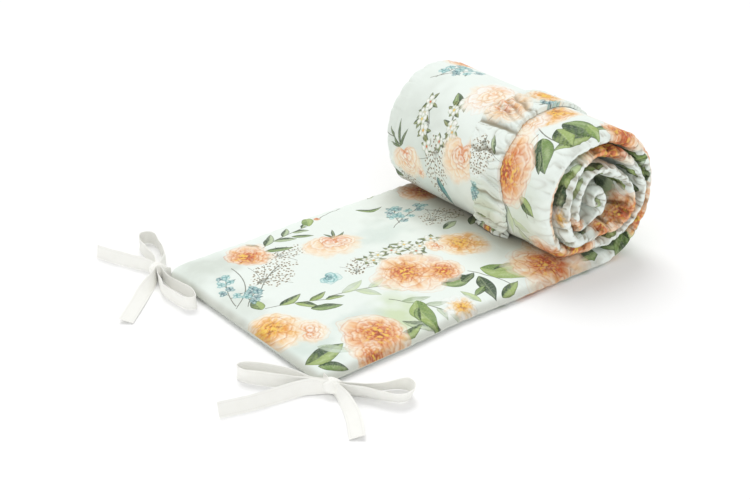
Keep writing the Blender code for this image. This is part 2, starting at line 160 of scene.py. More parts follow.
# ---------------------------------------------------------------- ties
TAPE_WIDTH = 0.0158
TAPE_THICKNESS = 0.0011
TAPE_FLOOR = 0.0005
SEWN_WIDTH = 0.0115
TWILL_PITCH = 0.0009
STITCH_INSET = 0.0022
STITCH_PITCH = 0.0026
KNOT_HALF_LENGTH = 0.0098
KNOT_RADIUS = 0.0084
KNOT_HEIGHT = 0.0088
KNOT_YAW = -40.0
FRONT_KNOT = (-0.2985, -0.0130)
FRONT_CORNER = (-0.2945, 0.0065)
# each tape's points: x and y in tenths of a millimetre, and its lean in degrees
FRONT_TAPES = {
    "left_tail": ("-2985 -130 0, -3110 -60 -22, -3240 10 -30, -3480 50 -30, -3790 110 -30, "
                  "-4080 200 -28"),
    "left_loop": ("-2965 -120 0, -3105 30 0, -3160 230 0, -3300 490 0, -3460 680 0, -3560 680 0, "
                  "-3540 560 0, -3400 350 0, -3215 140 0, -3005 -140 0"),
    "right_loop": ("-2975 -115 -8, -2850 -240 -20, -2640 -365 -26, -2460 -465 -18, -2390 -570 0, "
                  "-2460 -675 18, -2580 -670 26, -2680 -540 26, -2790 -370 22, -2995 -145 8"),
    "right_tail": ("-2985 -130 0, -3025 -250 15, -3100 -430 45, -3200 -620 68, -3345 -845 76"),
}
BACK_KNOT = (-0.3070, 0.2960)
BACK_CORNER = (-0.2965, 0.2855)
BACK_TAPES = {
    "left_tail": ("-3070 2960 0, -3110 3150 -8, -3220 3350 -14, -3310 3560 -16, -3390 3780 -16"),
    "rear_loop": ("-3090 2965 0, -2985 3170 0, -2950 3400 0, -2910 3620 0, -2820 3740 0, "
                  "-2720 3690 0, -2730 3520 0, -2810 3300 0, -2890 3120 0, -3050 2955 0"),
    "lower_tail": ("-3070 2960 0, -3200 2800 -20, -3390 2620 -55, -3600 2430 -72, -3820 2240 -76"),
    "front_loop": ("-3050 2970 0, -3110 2680 0, -3085 2440 0, -3080 2220 0, -3130 2090 0, "
                  "-3220 2140 0, -3250 2340 0, -3240 2600 0, -3090 2950 0"),
}

# ---------------------------------------------------------------- camera
CAMERA_PLACE = (-1.0034, -0.9509, 0.7766)
CAMERA_YAW = 0.6794
CAMERA_PITCH = 0.4855
CAMERA_LENS = 69.08
FLOOR_REACH = 30.0
WALL_LIGHT = 1.03
CEILING_LIGHT = 0.62

# ---------------------------------------------------------------- colours, as seen (sRGB)
PAPER = (0.925, 0.955, 0.932)
COLOURS = {
    "mint": (0.87, 0.93, 0.89),
    "haze": (0.83, 0.88, 0.85),
    # shade: the colour of the painted shade washes, and the foot of some petals
    "shade": (0.80, 0.83, 0.79),
    "sage": (0.70, 0.77, 0.63),
    "pale_green": (0.77, 0.84, 0.62),
    "fresh": (0.61, 0.70, 0.38),
    "leaf": (0.44, 0.56, 0.27),
    "deep": (0.15, 0.27, 0.12),
    "olive": (0.47, 0.47, 0.20),
    "teal": (0.30, 0.60, 0.61),
    "aqua": (0.63, 0.85, 0.84),
    "slate": (0.20, 0.40, 0.46),
    "navy": (0.12, 0.22, 0.30),
    "cream": (0.975, 0.94, 0.85),
    "blush": (0.97, 0.89, 0.76),
    "peach": (0.95, 0.80, 0.60),
    "apricot": (0.935, 0.68, 0.41),
    "orange": (0.885, 0.50, 0.19),
    "ember": (0.81, 0.34, 0.08),
    "rust": (0.55, 0.25, 0.10),
    "amber": (0.93, 0.68, 0.22),
    "yellow": (0.96, 0.80, 0.34),
    "bark": (0.33, 0.27, 0.22),
    "white": (0.97, 0.975, 0.955),
}
STEM_COLOUR = (0.33, 0.33, 0.25)
DOT_COLOUR = (0.36, 0.30, 0.18)
IVORY = (0.990, 0.990, 0.972)
IVORY_CLOUD = (0.92, 0.915, 0.875)
STITCH_COLOUR = (0.80, 0.79, 0.74)
PAPER_CLOUD = (0.915, 0.950, 0.920)
HALO_COLOUR = (0.97, 0.94, 0.86)
GRAIN_COLOUR = (0.96, 0.95, 0.90)
THREAD_COLOUR = (0.80, 0.83, 0.80)
# painted shade: the colour that folds, pleats, creases and the roll's contact are darkened towards
FOLD_SHADE = (0.60, 0.54, 0.45)
HEART_GLAZE = (0.98, 0.64, 0.22)
FIFTH_TURN = 1.257
QUARTER_TURN = 1.57


def linear(colour):
    """sRGB to the linear values that shaders use."""
    values = np.asarray(colour, dtype=float)
    return np.where(values <= 0.04045, values / 12.92, ((values + 0.055) / 1.055) ** 2.4)


PIGMENTS = {name: linear(colour) for name, colour in COLOURS.items()}


def between(one, other, share):
    return one * (1.0 - share) + other * share


def layered(colour, *glazes):
    """A colour under glazes in turn, each with its colour and its share at every point."""
    for other, share in glazes:
        colour = between(colour, other, share[:, None])
    return colour


def travelled(points):
    """Distance along a line of points."""
    return np.concatenate(([0.0], np.cumsum(np.linalg.norm(np.diff(points, axis=0), axis=1))))


def smooth_step(value):
    value = np.clip(value, 0.0, 1.0)
    return value * value * (3.0 - 2.0 * value)


def eased(rows, column, along):
    """Read a table's column at distances, easing from row to row."""
    rows = np.array(rows)
    along = np.clip(along, rows[0, 0], rows[-1, 0])
    index = np.clip(np.searchsorted(rows[:, 0], along) - 1, 0, len(rows) - 2)
    start, end = rows[index], rows[index + 1]
    share = smooth_step((along - start[..., 0]) / (end[..., 0] - start[..., 0]))
    return start[..., column] + (end[..., column] - start[..., column]) * share


def lattice(x, y, seed):
    """Random values, -1 to 1, at whole-numbered places."""
    mixed = (x.astype(np.int64) * 374761393 + y.astype(np.int64) * 668265263 + seed * 974711)
    mixed = (mixed ^ (mixed >> 13)) * 1274126177
    mixed = (mixed ^ (mixed >> 16)) & 0xFFFF
    return mixed / 32767.5 - 1.0


def noise(x, y, seed):
    """Smooth random field, -1 to 1, with one bump to each unit."""
    x, y = np.broadcast_arrays(np.asarray(x, float), np.asarray(y, float))
    left, low = np.floor(x), np.floor(y)
    across, up = smooth_step(x - left), smooth_step(y - low)
    lower = between(lattice(left, low, seed), lattice(left + 1, low, seed), across)
    upper = between(lattice(left, low + 1, seed), lattice(left + 1, low + 1, seed), across)
    return between(lower, upper, up)


def drift(x, size, seed):
    """The same, but changing in one direction only."""
    return noise(x / size, x * 0.0, seed)


def soft_minimum(one, other, softness):
    share = np.clip(0.5 + 0.5 * (other - one) / softness, 0.0, 1.0)
    return other + (one - other) * share - softness * share * (1.0 - share)


def hump(turned, centre, spread):
    """A smooth hump in every turn: 1 at its centre and 0 a spread away, in degrees."""
    off = (turned % 360.0 - centre) / spread
    return np.where(np.abs(off) < 1.0, np.cos(off * math.pi / 2.0) ** 2, 0.0)


def wrap_pitch(turned):
    """Room that a wrap takes: less where the roll is pressed against the flat run's slope."""
    return WRAP_PITCH - WRAP_NARROWING * hump(turned, NARROW_DEGREES, NARROW_SPREAD)


def outer_radius(turned):
    """Distance from a wrap's centre to the strip's outer face, as in the solid."""
    turned = np.asarray(turned, dtype=float)
    down = np.radians(turned)
    ellipse = 1.0 / np.hypot(np.sin(down) / ROLL_HALF_WIDTH, np.cos(down) / ROLL_HALF_HEIGHT)
    whole = np.floor(turned / 360.0)
    within = turned - whole * 360.0
    outline = ellipse + LOW_BULGE * hump(turned, LOW_BULGE_DEGREES, LOW_BULGE_SPREAD)
    facing_down = np.where(within > 270.0, np.cos(down), 1.0)
    level = (ROLL_HALF_HEIGHT - WRAP_PITCH) / np.maximum(facing_down, 1e-6)
    outline = np.where(within > 270.0, soft_minimum(outline, level, BEND_SOFTNESS), outline)
    core = ellipse - WRAPS * WRAP_PITCH - (turned / 360.0 - WRAPS) * CORE_PITCH
    return np.where(whole >= WRAPS, core, outline - whole * wrap_pitch(turned))


def radial(turned):
    angle = np.radians(turned - 90.0)
    return np.cos(angle), np.sin(angle)


def pad_thickness(turned):
    squeezed = smooth_step(1.0 + turned / SQUEEZE_DEGREES)
    flat = PAD_FLAT + (PAD_ROLLED - PAD_FLAT) * squeezed
    wound = PAD_ROLLED + (PAD_CORE - PAD_ROLLED) * turned / LAST_DEGREES
    wound = wound - (WRAP_PITCH - wrap_pitch(turned)) * (turned < WRAPS * 360.0)
    return np.where(turned < 0.0, flat, wound)


def wind():
    """The strip's middle line: distance, x, z, inward normal x, z, thickness and turned angle."""
    flat = np.linspace(0.0, FLAT_LENGTH, 200)[:-1]
    turned = np.concatenate((np.degrees((flat - FLAT_LENGTH) / ROLL_HALF_HEIGHT),
                             np.arange(0.0, LAST_DEGREES + 0.25, 0.5)))
    pad = pad_thickness(turned)
    out_x, out_z = radial(turned)
    sunk = np.maximum(0.0, turned - 360.0) / (LAST_DEGREES - 360.0)
    reach = outer_radius(turned) - pad / 2.0
    lying = turned < 0.0
    x = np.where(lying, ROLL_AXIS_X + np.radians(turned) * ROLL_HALF_HEIGHT,
                 ROLL_AXIS_X + CORE_SAG[0] * sunk + out_x * reach)
    z = np.where(lying, pad / 2.0, ROLL_HALF_HEIGHT + CORE_SAG[1] * sunk + out_z * reach)
    steps = np.hypot(np.diff(x), np.diff(z))
    along = np.concatenate(([0.0], np.cumsum(steps)))
    normal_x = np.where(lying, 0.0, -out_x)
    normal_z = np.where(lying, 1.0, -out_z)
    return np.stack((along, x, z, normal_x, normal_z, pad, turned))


WINDING = wind()
TOTAL = float(WINDING[0, -1])


def winding_at(along):
    return [np.interp(along, WINDING[0], row) for row in WINDING[1:]]


def crown(fraction, sharpness):
    inside = np.maximum(0.0, 1.0 - np.abs(fraction) ** sharpness)
    return inside ** 0.55


def rounded(distance, radius):
    """Quarter-round rise from a seam: 0 on it and 1 a radius away."""
    short = np.clip(1.0 - distance / radius, 0.0, 1.0)
    return np.sqrt(1.0 - short * short)


def pulled(along, seed, pitch):
    """Where stitches pull the cloth in along a seam: 1 at a tight place, 0 between."""
    shift = 0.35 * drift(along, 1.8 * pitch, seed) + 0.2 * drift(along, 0.75 * pitch, seed + 5)
    wave = np.abs(np.sin(math.pi * (along / pitch + shift)))
    strength = 0.65 + 0.35 * drift(along, 1.4 * pitch, seed + 9)
    return (1.0 - wave) ** 1.6 * strength


# face (1 top, -1 underside), along, across, length, direction, width, rise
CREASES = table("""
    1 150 50 110 62 14 -10, 1 215 230 120 100 16 -14, 1 255 225 110 96 16 12,
    1 300 180 100 84 13 -12, 1 80 180 120 25 22 -9, 1 290 60 90 30 12 -12, 1 50 55 70 120 13 -10,
    -1 735 283 60 4 6 -16, -1 760 270 50 20 5 -14, -1 700 255 80 80 14 -12, -1 775 80 50 30 6 -20,
    -1 770 60 55 50 6 16, -1 785 45 60 70 7 -16, -1 750 55 50 80 7 -12, -1 665 60 70 70 12 -12,
    -1 640 120 60 60 12 10, -1 600 210 120 85 18 -12, 1 1166 36 52 82 7 -26, 1 1180 36 56 96 8 30,
    1 1196 30 50 88 6 -30, 1 1211 34 60 78 8 32, 1 1228 32 52 96 6 -30, 1 1243 30 50 104 8 28,
    1 1262 34 56 84 7 -26, 1 1282 30 48 92 8 22, 1 1306 34 52 80 7 -24, 1 1330 30 48 96 8 22,
    1 1356 30 48 86 7 -22""", FACE, MM, MM, MM, DEGREES, MM, TENTHS)


def creased(along, across, side):
    """Soft troughs and ridges at listed places."""
    total = np.zeros(np.broadcast(along, across).shape)
    for face, at, over, length, degrees, width, rise in CREASES:
        if face != side:
            continue
        c, s = math.cos(math.radians(degrees)), math.sin(math.radians(degrees))
        lengthwise = (along - at) * c + (across - over) * s
        aside = (across - over) * c - (along - at) * s
        aside = aside + 0.003 * np.sin(lengthwise * 70.0 + at * 90.0)
        total += rise * np.exp(-(lengthwise / (length * 0.42)) ** 4 - (aside / (width * 0.5)) ** 2)
    return total


def strip_edges(along):
    """Places of the near and the far seam, drawn in a little where the stitches are tight."""
    corner = np.where(along < CORNER_RADIUS,
                      CORNER_RADIUS - np.sqrt(np.maximum(
                          0.0, CORNER_RADIUS ** 2 - (CORNER_RADIUS - along) ** 2)), 0.0)
    drawn = 0.30 * eased(PUCKERS, 1, along)
    near, far = (eased(EDGE_INSETS, column, along) + corner + drawn * pulled(along, seed, PUCKER_PITCH)
                 for column, seed in ((1, NEAR_SEED), (2, FAR_SEED)))
    return near, STRIP_WIDTH - far


def place_between_seams(along, across):
    """The seams' places, and where the share of the width that across stands for lies."""
    near, far = strip_edges(along)
    return near, far, near + (across / STRIP_WIDTH) * (far - near)


def puckers(along, across, side):
    """How far the seams' stitches pull a face in: long soft troughs and short fine gathers."""
    near, far, place = place_between_seams(along, across)
    depth, reach, gathers = (eased(PUCKERS, column, along) for column in (1, 2, 3))
    total = np.zeros(np.broadcast(along, across).shape)
    for off, seed, share in ((place - near, NEAR_SEED, 1.0), (far - place, FAR_SEED, 0.6)):
        off = np.maximum(off, 0.0)
        long_pull = pulled(along, seed + (side > 0), PUCKER_PITCH) * depth
        short_pull = pulled(along, seed + 30 + (side > 0), GATHER_PITCH) * gathers
        total += share * long_pull * np.exp(-(off / reach) ** 1.5)
        total += share * short_pull * np.exp(-(off / GATHER_REACH) ** 1.6)
    return total * np.clip(np.minimum(place - near, far - place) / 0.003, 0.0, 1.0)


def crumple(along, across, side):
    """Sharp small creases, 0 to 1, that run in all directions close to the seams of the wound part."""
    near, far, place = place_between_seams(along, across)
    lean = along + 0.25 * across * drift(along, 0.040, 157)
    field = noise(lean / 0.0088, across / 0.0280, 151 + np.sign(side))
    field = field + 0.40 * noise(along / 0.0056, across / 0.0110, 161 + np.sign(side))
    rim = np.exp(-((place - near) / 0.026) ** 2) + 0.15 * np.exp(-((far - place) / 0.022) ** 2)
    wound = smooth_step((along - FLAT_LENGTH + 0.02) / 0.06)
    outside = (side < 0) * (1.0 - smooth_step((along - 0.80) / 0.05))
    return (1.0 - np.minimum(np.abs(field), 1.0)) ** 5 * rim * wound * (1.0 - 0.6 * outside)


def strip_surface(along, across, side):
    """Points of the filled strip; along and across are arrays and side is 1 for the top face."""
    x, z, normal_x, normal_z, pad, turned = winding_at(along)
    near, far, place = place_between_seams(along, across)
    from_seam = np.minimum(place - near, far - place)
    in_roll = smooth_step(turned / 60.0)
    width = 2.0 * across / STRIP_WIDTH - 1.0
    from_end = np.minimum(np.minimum(along / END_SLOPE, (TOTAL - along) / INNER_END_SLOPE), 1.0)
    end_rise = crown(1.0 - from_end, 2.2)
    soft = crown(width, 6.0 if side > 0 else 12.0)
    full = rounded(from_seam, EDGE_ROUND)
    rise = (soft + (np.maximum(soft, full) - soft) * np.maximum(in_roll, 0.35)) * end_rise
    seam = -SEAM_DROP * (1.0 - in_roll)
    seam = seam + 0.0014 * drift(along, 0.021, 3) * in_roll * end_rise
    lift = np.zeros(np.broadcast(along, across).shape)
    lift += 0.0016 * noise(along / 0.075, across / 0.060, 31 + side) * (1.0 - 0.5 * in_roll)
    lift += 0.0006 * noise(along / 0.026, across / 0.034, 37 + side)
    lift += creased(along, across, side)
    rim = np.exp(-(from_seam / 0.020) ** 2)
    lift += 0.0014 * rim * in_roll * noise(along / 0.0105, across / 0.013, 141 + side)
    lift -= 0.0021 * crumple(along, across, side)
    calm = smooth_step((np.abs(place - BAND_CENTRE_Y) - BAND_HALF_WIDTH) / 0.012)
    calm = np.where((side < 0) & (turned > 0.0) & (turned < 330.0), calm, 1.0)
    lift = lift * calm * rise
    on_floor = (side < 0) & (turned < 0.0)
    lift = np.where(on_floor, 0.0, lift)
    body = SEAM_HALF + (pad / 2.0 - side * seam - SEAM_HALF) * rise
    most = 0.80 * body
    drawn = most * np.tanh(puckers(along, across, side) / most)
    height = seam + side * np.maximum(body + lift - drawn, 0.0)
    raised = np.maximum(z + normal_z * height, LOWEST)
    return np.stack((x + normal_x * height, place, raised), axis=-1)


# ---------------------------------------------------------------- the print
class Print:
    """Layers of the print at the points of one mesh; distances inside a shape are in metres."""

    FAR = -0.004
    RIM_MARGIN = -0.0004

    def __init__(self, along, across):
        self.along, self.across = along.ravel(), across.ravel()
        count = self.along.size
        paper = linear(PAPER)
        self.colour = {name: np.tile(paper, (count, 1)) for name in ("wash", "leaf", "petal")}
        self.cover = {name: np.zeros(count) for name in ("wash", "leaf", "petal")}
        self.inside = {name: np.full(count, self.FAR) for name in ("leaf", "petal", "spray")}
        self.stem_off = np.full(count, 0.01)
        self.stem_half = np.full(count, -0.002)

    def local(self, place, turn, reach):
        du, dv = self.along - place[0], self.across - place[1]
        near = np.nonzero(du * du + dv * dv < reach * reach)[0]
        c, s = math.cos(turn), math.sin(turn)
        du, dv = du[near], dv[near]
        return near, du * c + dv * s, dv * c - du * s

    def lay(self, layer, near, inside, colour, cover):
        """Lay thin or full pigment over a layer; inside is the distance in from the shape's rim."""
        close = inside > self.FAR
        near, inside, colour, cover = near[close], inside[close], colour[close], cover[close]
        seen = self.inside[layer][near]
        old = np.where(seen > self.RIM_MARGIN, self.cover[layer][near], 0.0)
        share = cover * smooth_step(inside / 0.0007 + 0.5)
        total = share + old * (1.0 - share)
        bare = old < 0.001
        share = np.where(bare, 1.0, share / np.maximum(total, 1e-6))
        take = ~bare | (inside >= seen)
        near = near[take]
        self.colour[layer][near] = layered(self.colour[layer][near], (colour[take], share[take]))
        self.cover[layer][near] = np.where(bare, cover, total)[take]
        self.inside[layer][near] = np.maximum(seen[take], inside[take])

    def cloud(self, near, size, seed):
        return noise(self.along[near] / size, self.across[near] / size, seed)

    def tint(self, layer, near, share, colour):
        """Move the colours of a layer towards another."""
        values = self.colour[layer]
        values[near] = layered(values[near], (colour, np.clip(share, 0.0, 1.0)))

    # a soft patch of one pigment; patches in shade are painted shade
    def wash(self, place, turn, radius, stretch, name, strength):
        near, p, q = self.local(place, turn, radius * max(stretch, 1.0) * 1.6)
        far = np.hypot(p / stretch, q) / radius
        ragged = 0.25 * self.cloud(near, 0.012, 71)
        self.tint("wash", near, strength * smooth_step(1.25 - far + ragged), PIGMENTS[name])

    def leaf(self, place, turn, length, width, name, dark="deep", bend=0.0, fade=0.0):
        """A pointed leaf: a lit half and a dark half, a pale rib, side veins and a dark rim."""
        near, p, q = self.local(place, turn, length * 1.2 + 0.004)
        t = np.clip(p / length, 0.0, 1.0)
        aside = q - bend * length * (t * t - t) * 4.0
        half = width / 2.0 * np.sin(math.pi * t ** 0.80) ** 0.95
        half = half * (1.0 + 0.06 * np.sin(t * 9.0 + np.sign(aside) * 1.3 + length * 900.0)
                       + 0.05 * noise(t * 6.0, np.sign(aside) * 3.5, int(length * 9000.0) % 97))
        beyond = np.where(p < 0.0, -p, np.maximum(p - length, 0.0))
        inside = np.where(beyond > 0.0, -np.hypot(beyond, aside), half - np.abs(aside))
        body, shade = PIGMENTS[name], PIGMENTS[dark]
        light = 0.35 * body + 0.65 * PIGMENTS["pale_green"]
        cloud = self.cloud(near, 0.008, 77)
        share = 0.80 * (aside > 0.0) + 0.50 * smooth_step(0.45 - t) + 0.40 * cloud
        veins = np.sin((p - np.abs(aside) * 1.5) * 2.0 * math.pi / (0.16 * length + 0.0020))
        shine = smooth_step(1.0 - np.abs(aside + 0.45 * half) / (0.42 * half + 1e-6))
        rib = smooth_step(1.4 - np.abs(aside) / 0.0007) * 0.45 * (t < 0.9)
        colour = layered(body,
                         (shade, np.clip(share + 0.16 * veins, 0.0, 1.0)),
                         (light, shine * smooth_step(cloud + 0.7) * 0.72),
                         (shade * 0.55, smooth_step(1.15 - inside / 0.0012) * 0.62),
                         (shade * 0.6 if fade > 0.1 else light, rib))
        cover = np.clip(1.0 - fade - 0.25 * smooth_step(cloud) * (fade > 0.0) - 0.10 * t, 0.1, 1.0)
        self.lay("leaf", near, inside, colour, cover)

    def petal(self, place, turn, length, width, colours, tip=0.07, tone=0.0, cover=1.0, soft=0.0):
        """A ruffled petal: colours are its foot, body and rim; tone darkens it, soft fades its rim."""
        near, p, q = self.local(place, turn, length * 1.3 + 0.003)
        seed = int(abs(turn) * 977.0 + length * 31000.0) % 997
        long_half, broad_half = length / 2.0, width / 2.0
        spot = np.hypot((p - long_half) / long_half, q / broad_half)
        angle = np.arctan2(q / broad_half, (p - long_half) / long_half)
        ruffle = np.sin(3.0 * angle + seed) + 0.7 * np.sin(5.0 * angle + seed * 1.7)
        ruffle = tip * (ruffle + 0.5 * np.sin(9.0 * angle + seed * 2.3))
        ruffle = ruffle - 1.6 * tip * np.exp(-(angle / 0.3) ** 2)
        inside = (1.0 + ruffle - spot) * min(long_half, broad_half) * 0.9
        t = np.clip(p / length, 0.0, 1.0)
        foot, body, rim = (PIGMENTS[name] for name in colours)
        body = body + (foot - body) * 0.85 * max(tone, 0.0) + (rim - body) * max(-tone, 0.0)
        fan = q / (0.40 * length + np.maximum(p, 0.0) * 0.7 + 1e-4)
        streak = noise(fan * 11.0, p / 0.025, seed)
        fine = noise(fan * 25.0, p / 0.018, seed + 3)
        dark = smooth_step(streak * 1.8) * 0.45 + smooth_step(fine * 2.4 - 0.6) * 0.45
        broken = 0.45 + 0.55 * smooth_step(0.5 + noise(angle * 1.6, seed * 1.0, seed + 7))
        glow = smooth_step(1.0 - np.abs(inside - 0.0022) / 0.0015) * 0.70
        line = smooth_step(1.25 - inside / 0.0011) * (0.80 - 0.55 * soft) * broken
        colour = layered(body,
                         (rim, smooth_step((t - 0.40) / 0.55) * 0.80),
                         (foot, smooth_step(1.15 - t * 1.9)),
                         (0.5 * rim + 0.5, smooth_step(-streak * 1.7) * 0.45),
                         (0.80 * foot + 0.20 * body, np.clip(dark * (1.05 - 0.75 * t), 0.0, 1.0)),
                         (0.35 * rim + 0.65, glow),
                         (0.78 * foot * 0.85 + 0.15 * body, line))
        faded = 1.0 - soft * (1.0 - smooth_step(inside / 0.0080))
        faded = faded * (1.0 - 0.15 * smooth_step(-streak))
        self.lay("petal", near, inside, colour, np.clip(cover * faded, 0.0, 1.0))

    def blossom(self, place, turn, radius, kind, petals=8, spread=360.0, seed=1):
        """A full blossom from rings of petals, back to front; spread under 360 is a side view."""
        rng = np.random.default_rng(seed)
        outer, middle, inner, heart, soft = BLOSSOMS[kind]
        # reach, width, colours, number of petals, cover and how far they fade
        rings = ((1.00, 0.95, outer, max(petals - 2, 5), 0.66, 1.0),
                 (0.86, 0.80, middle, max(petals - 2, 5), 0.82, 0.6),
                 (0.68, 0.62, middle, petals - 2, 0.94, 0.2),
                 (0.48, 0.46, inner, petals - 3, 0.97, 0.0),
                 (0.30, 0.34, inner, max(petals - 4, 3), 1.0, 0.0))
        fan = math.radians(spread)
        lopsided = (rng.uniform(-0.16, 0.16) * radius, rng.uniform(-0.16, 0.16) * radius)
        for ring, (reach, width, colours, count, cover, faded) in enumerate(rings):
            start = rng.uniform(0.0, 1.0)
            centre = (place[0] + lopsided[0] * ring * 0.25, place[1] + lopsided[1] * ring * 0.25)
            for index in rng.permutation(count):
                if spread < 360.0:
                    angle = turn - fan / 2.0 + fan * (index + 0.5) / count
                else:
                    angle = turn + fan * (index + start) / count
                angle += rng.uniform(-0.25, 0.25)
                length = radius * reach * rng.uniform(0.78, 1.10)
                broad = radius * width * rng.uniform(0.80, 1.20)
                root = (centre[0] + rng.uniform(-0.06, 0.06) * radius,
                        centre[1] + rng.uniform(-0.06, 0.06) * radius)
                self.petal(root, angle, length, broad, colours, 0.055, rng.uniform(-0.9, 0.9), cover,
                           soft * faded)
        if heart:
            at = (place[0] + lopsided[0], place[1] + lopsided[1])
            near, p, q = self.local(at, turn, radius * 0.95)
            far = np.hypot(p, q) / (radius * (0.50 if kind == "orange" else 0.43))
            around = np.arctan2(q, p)
            rays = noise(around * 5.0, far * 1.3, seed)
            strokes = noise(around * 10.0, far * 0.9, seed + 2)
            far = far * (1.0 + 0.5 * rays)
            warm = (smooth_step(1.50 - 0.85 * far) * (0.62 + 0.35 * strokes))[:, None]
            self.colour["petal"][near] *= 1.0 - warm * (1.0 - np.array(HEART_GLAZE))
            spots = self.cloud(near, 0.0024, seed + 1)
            core, rust = PIGMENTS[heart], PIGMENTS["rust"]
            for share, colour in (
                    (smooth_step(1.20 - far) * (0.72 + 0.5 * rays), core),
                    (smooth_step(1.35 - far) * smooth_step(strokes * 2.5 - 0.7) * 0.70,
                     0.6 * core + 0.4 * rust),
                    ((spots > 0.25) * smooth_step(1.10 - far), PIGMENTS["yellow"]),
                    ((spots < -0.42) * smooth_step(1.0 - far) * 0.7, rust)):
                self.tint("petal", near, share, colour)

    def stem(self, points, half=0.00055):
        line = np.array(bezier(points, 14))
        low, high = line.min(0) - 0.004, line.max(0) + 0.004
        near = np.nonzero((self.along > low[0]) & (self.along < high[0])
                          & (self.across > low[1]) & (self.across < high[1]))[0]
        place = np.stack((self.along[near], self.across[near]), axis=-1)
        best = np.full(len(near), 9.0)
        off = np.full(len(near), 0.01)
        past = np.zeros(len(near))
        for index, (start, end) in enumerate(zip(line, line[1:])):
            run = end - start
            length = math.hypot(*run)
            if length == 0.0:
                continue
            rel = place - start
            t = (rel @ run) / length ** 2
            side = (run[0] * rel[:, 1] - run[1] * rel[:, 0]) / length
            over = np.where(t < 0.0, -t, np.maximum(t - 1.0, 0.0)) * length
            distance = np.hypot(side, over)
            closer = distance < best
            best = np.where(closer, distance, best)
            off = np.where(closer, side, off)
            past = np.where(closer, over if index in (0, len(line) - 2) else over * 0.0, past)
        width = half - 0.8 * np.maximum(0.0, best - 0.0013) - 0.8 * past
        take = best < np.abs(self.stem_off[near])
        self.stem_off[near[take]] = off[take]
        self.stem_half[near[take]] = width[take]

    def spray(self, place, turn, radius, stretch):
        """A cloud of seed heads: the material sets small dots in it."""
        near, p, q = self.local(place, turn, radius * max(stretch, 1.0) * 1.5 + 0.004)
        ragged = 0.25 * radius * self.cloud(near, 0.009, 83)
        inside = radius - np.hypot(p / stretch, q) + ragged
        self.inside["spray"][near] = np.maximum(self.inside["spray"][near], inside)
        foot = beside(place, turn, -0.9 * radius * stretch)
        for branch in range(5):
            aim = turn + (branch - 2.0) * 0.42
            out = radius * stretch * (1.5 - 0.12 * abs(branch - 2.0))
            self.stem((foot, beside(foot, turn, out * 0.5), beside(foot, aim, out)), 0.00026)

    def sprig(self, place, turn, length, seed=1):
        """Thin curved stems with small round blue-green flowers, each with a dark middle."""
        rng = np.random.default_rng(seed)
        handles = arc(place, turn, length, 0.12)
        self.stem(handles, 0.00045)
        line = bezier(handles, 8)
        for index in range(2, 9):
            side = 1.0 if index % 2 else -1.0
            aim = turn + side * rng.uniform(0.5, 1.1)
            out = rng.uniform(0.004, 0.010) if index < 8 else 0.0
            at = beside(line[index], aim, out)
            self.stem((line[index], halfway(line[index], at), at), 0.00035)
            shades = (("teal", "aqua", "aqua"), ("slate", "teal", "aqua"))[int(rng.integers(2))]
            for leaf in range(4):
                self.petal(at, aim + leaf * QUARTER_TURN + rng.uniform(-0.4, 0.4),
                           rng.uniform(0.0046, 0.0078), 0.0056, shades, 0.09, rng.uniform(-0.5, 0.9),
                           0.95, 0.15)
            dark = rng.uniform(0.0034, 0.0056)
            self.leaf(at, aim + rng.uniform(-1.0, 1.0), dark * 1.6, dark * 0.5, "slate", "navy")

    def branch(self, place, turn, length, name, dark, leaves=4, size=0.034, fade=0.0):
        """A stem with larger leaves in turn on either side and one at its tip."""
        handles = arc(place, turn, length, 0.10)
        self.stem(handles, 0.0006)
        line = bezier(handles, leaves)
        for index in range(1, leaves + 1):
            side = 1.0 if index % 2 else -1.0
            grown = size * (1.0 - 0.10 * index)
            open_by = side * 0.62 if index < leaves else 0.05
            self.leaf(line[index], turn + open_by, grown, grown * 0.36, name, dark,
                      bend=0.05 * side, fade=fade)

    def buds(self, place, turn, reach, count, seed):
        """Small daisies and buds with green sepals on thin stems."""
        rng = np.random.default_rng(seed)
        for index in range(count):
            at = (place[0] + rng.uniform(-reach, reach),
                  place[1] + rng.uniform(-reach, reach) * 17.0 / 24.0)
            mid = halfway(at, place)
            self.stem((at, (mid[0], mid[1] + 0.002), place), 0.0004)
            aim = turn + rng.uniform(-0.8, 0.8)
            grown = rng.uniform(0.85, 1.15)
            for sepal in range(5):
                self.leaf(at, aim + sepal * FIFTH_TURN + rng.uniform(-0.5, 0.5),
                          grown * rng.uniform(0.0090, 0.0170), rng.uniform(0.0048, 0.0066), "olive",
                          "deep")
            for piece in range(5):
                self.petal(at, aim + 0.6 + piece * FIFTH_TURN + rng.uniform(-0.35, 0.35),
                           grown * rng.uniform(0.0066, 0.0098), grown * rng.uniform(0.0048, 0.0074),
                           ("sage", "white", "white"), 0.08, rng.uniform(-0.6, 0.3))
            near, p, q = self.local(at, 0.0, 0.004)
            tone = ("amber", "ember", "yellow")[index % 3]
            self.tint("petal", near, smooth_step((0.0022 - np.hypot(p, q)) / 0.0013), PIGMENTS[tone])

    def paint(self, rows, shift=0.0):
        """Paint the motifs of a table, moved along by a shift."""
        draw = {"wash": self.wash, "blossom": self.blossom, "spray": self.spray, "sprig": self.sprig,
                "branch": self.branch, "buds": self.buds}
        for kind, at, over, degrees, size, more in rows:
            place, turn = (at + shift, over), math.radians(degrees)
            if not (self.along.min() - 0.08 < place[0] < self.along.max() + 0.08):
                continue
            if kind == "stem":
                self.stem(arc(place, turn, size, *more))
            elif kind == "leaf":
                self.leaf(place, turn, size, size * more[0], *more[1:])
            else:
                draw[kind](place, turn, size, *more)

    def take(self, other, chosen):
        """Take over what was painted on the chosen points."""
        for mine, theirs in ((self.colour, other.colour), (self.cover, other.cover),
                             (self.inside, other.inside)):
            for layer, values in theirs.items():
                mine[layer][chosen] = values
        self.stem_off[chosen], self.stem_half[chosen] = other.stem_off, other.stem_half

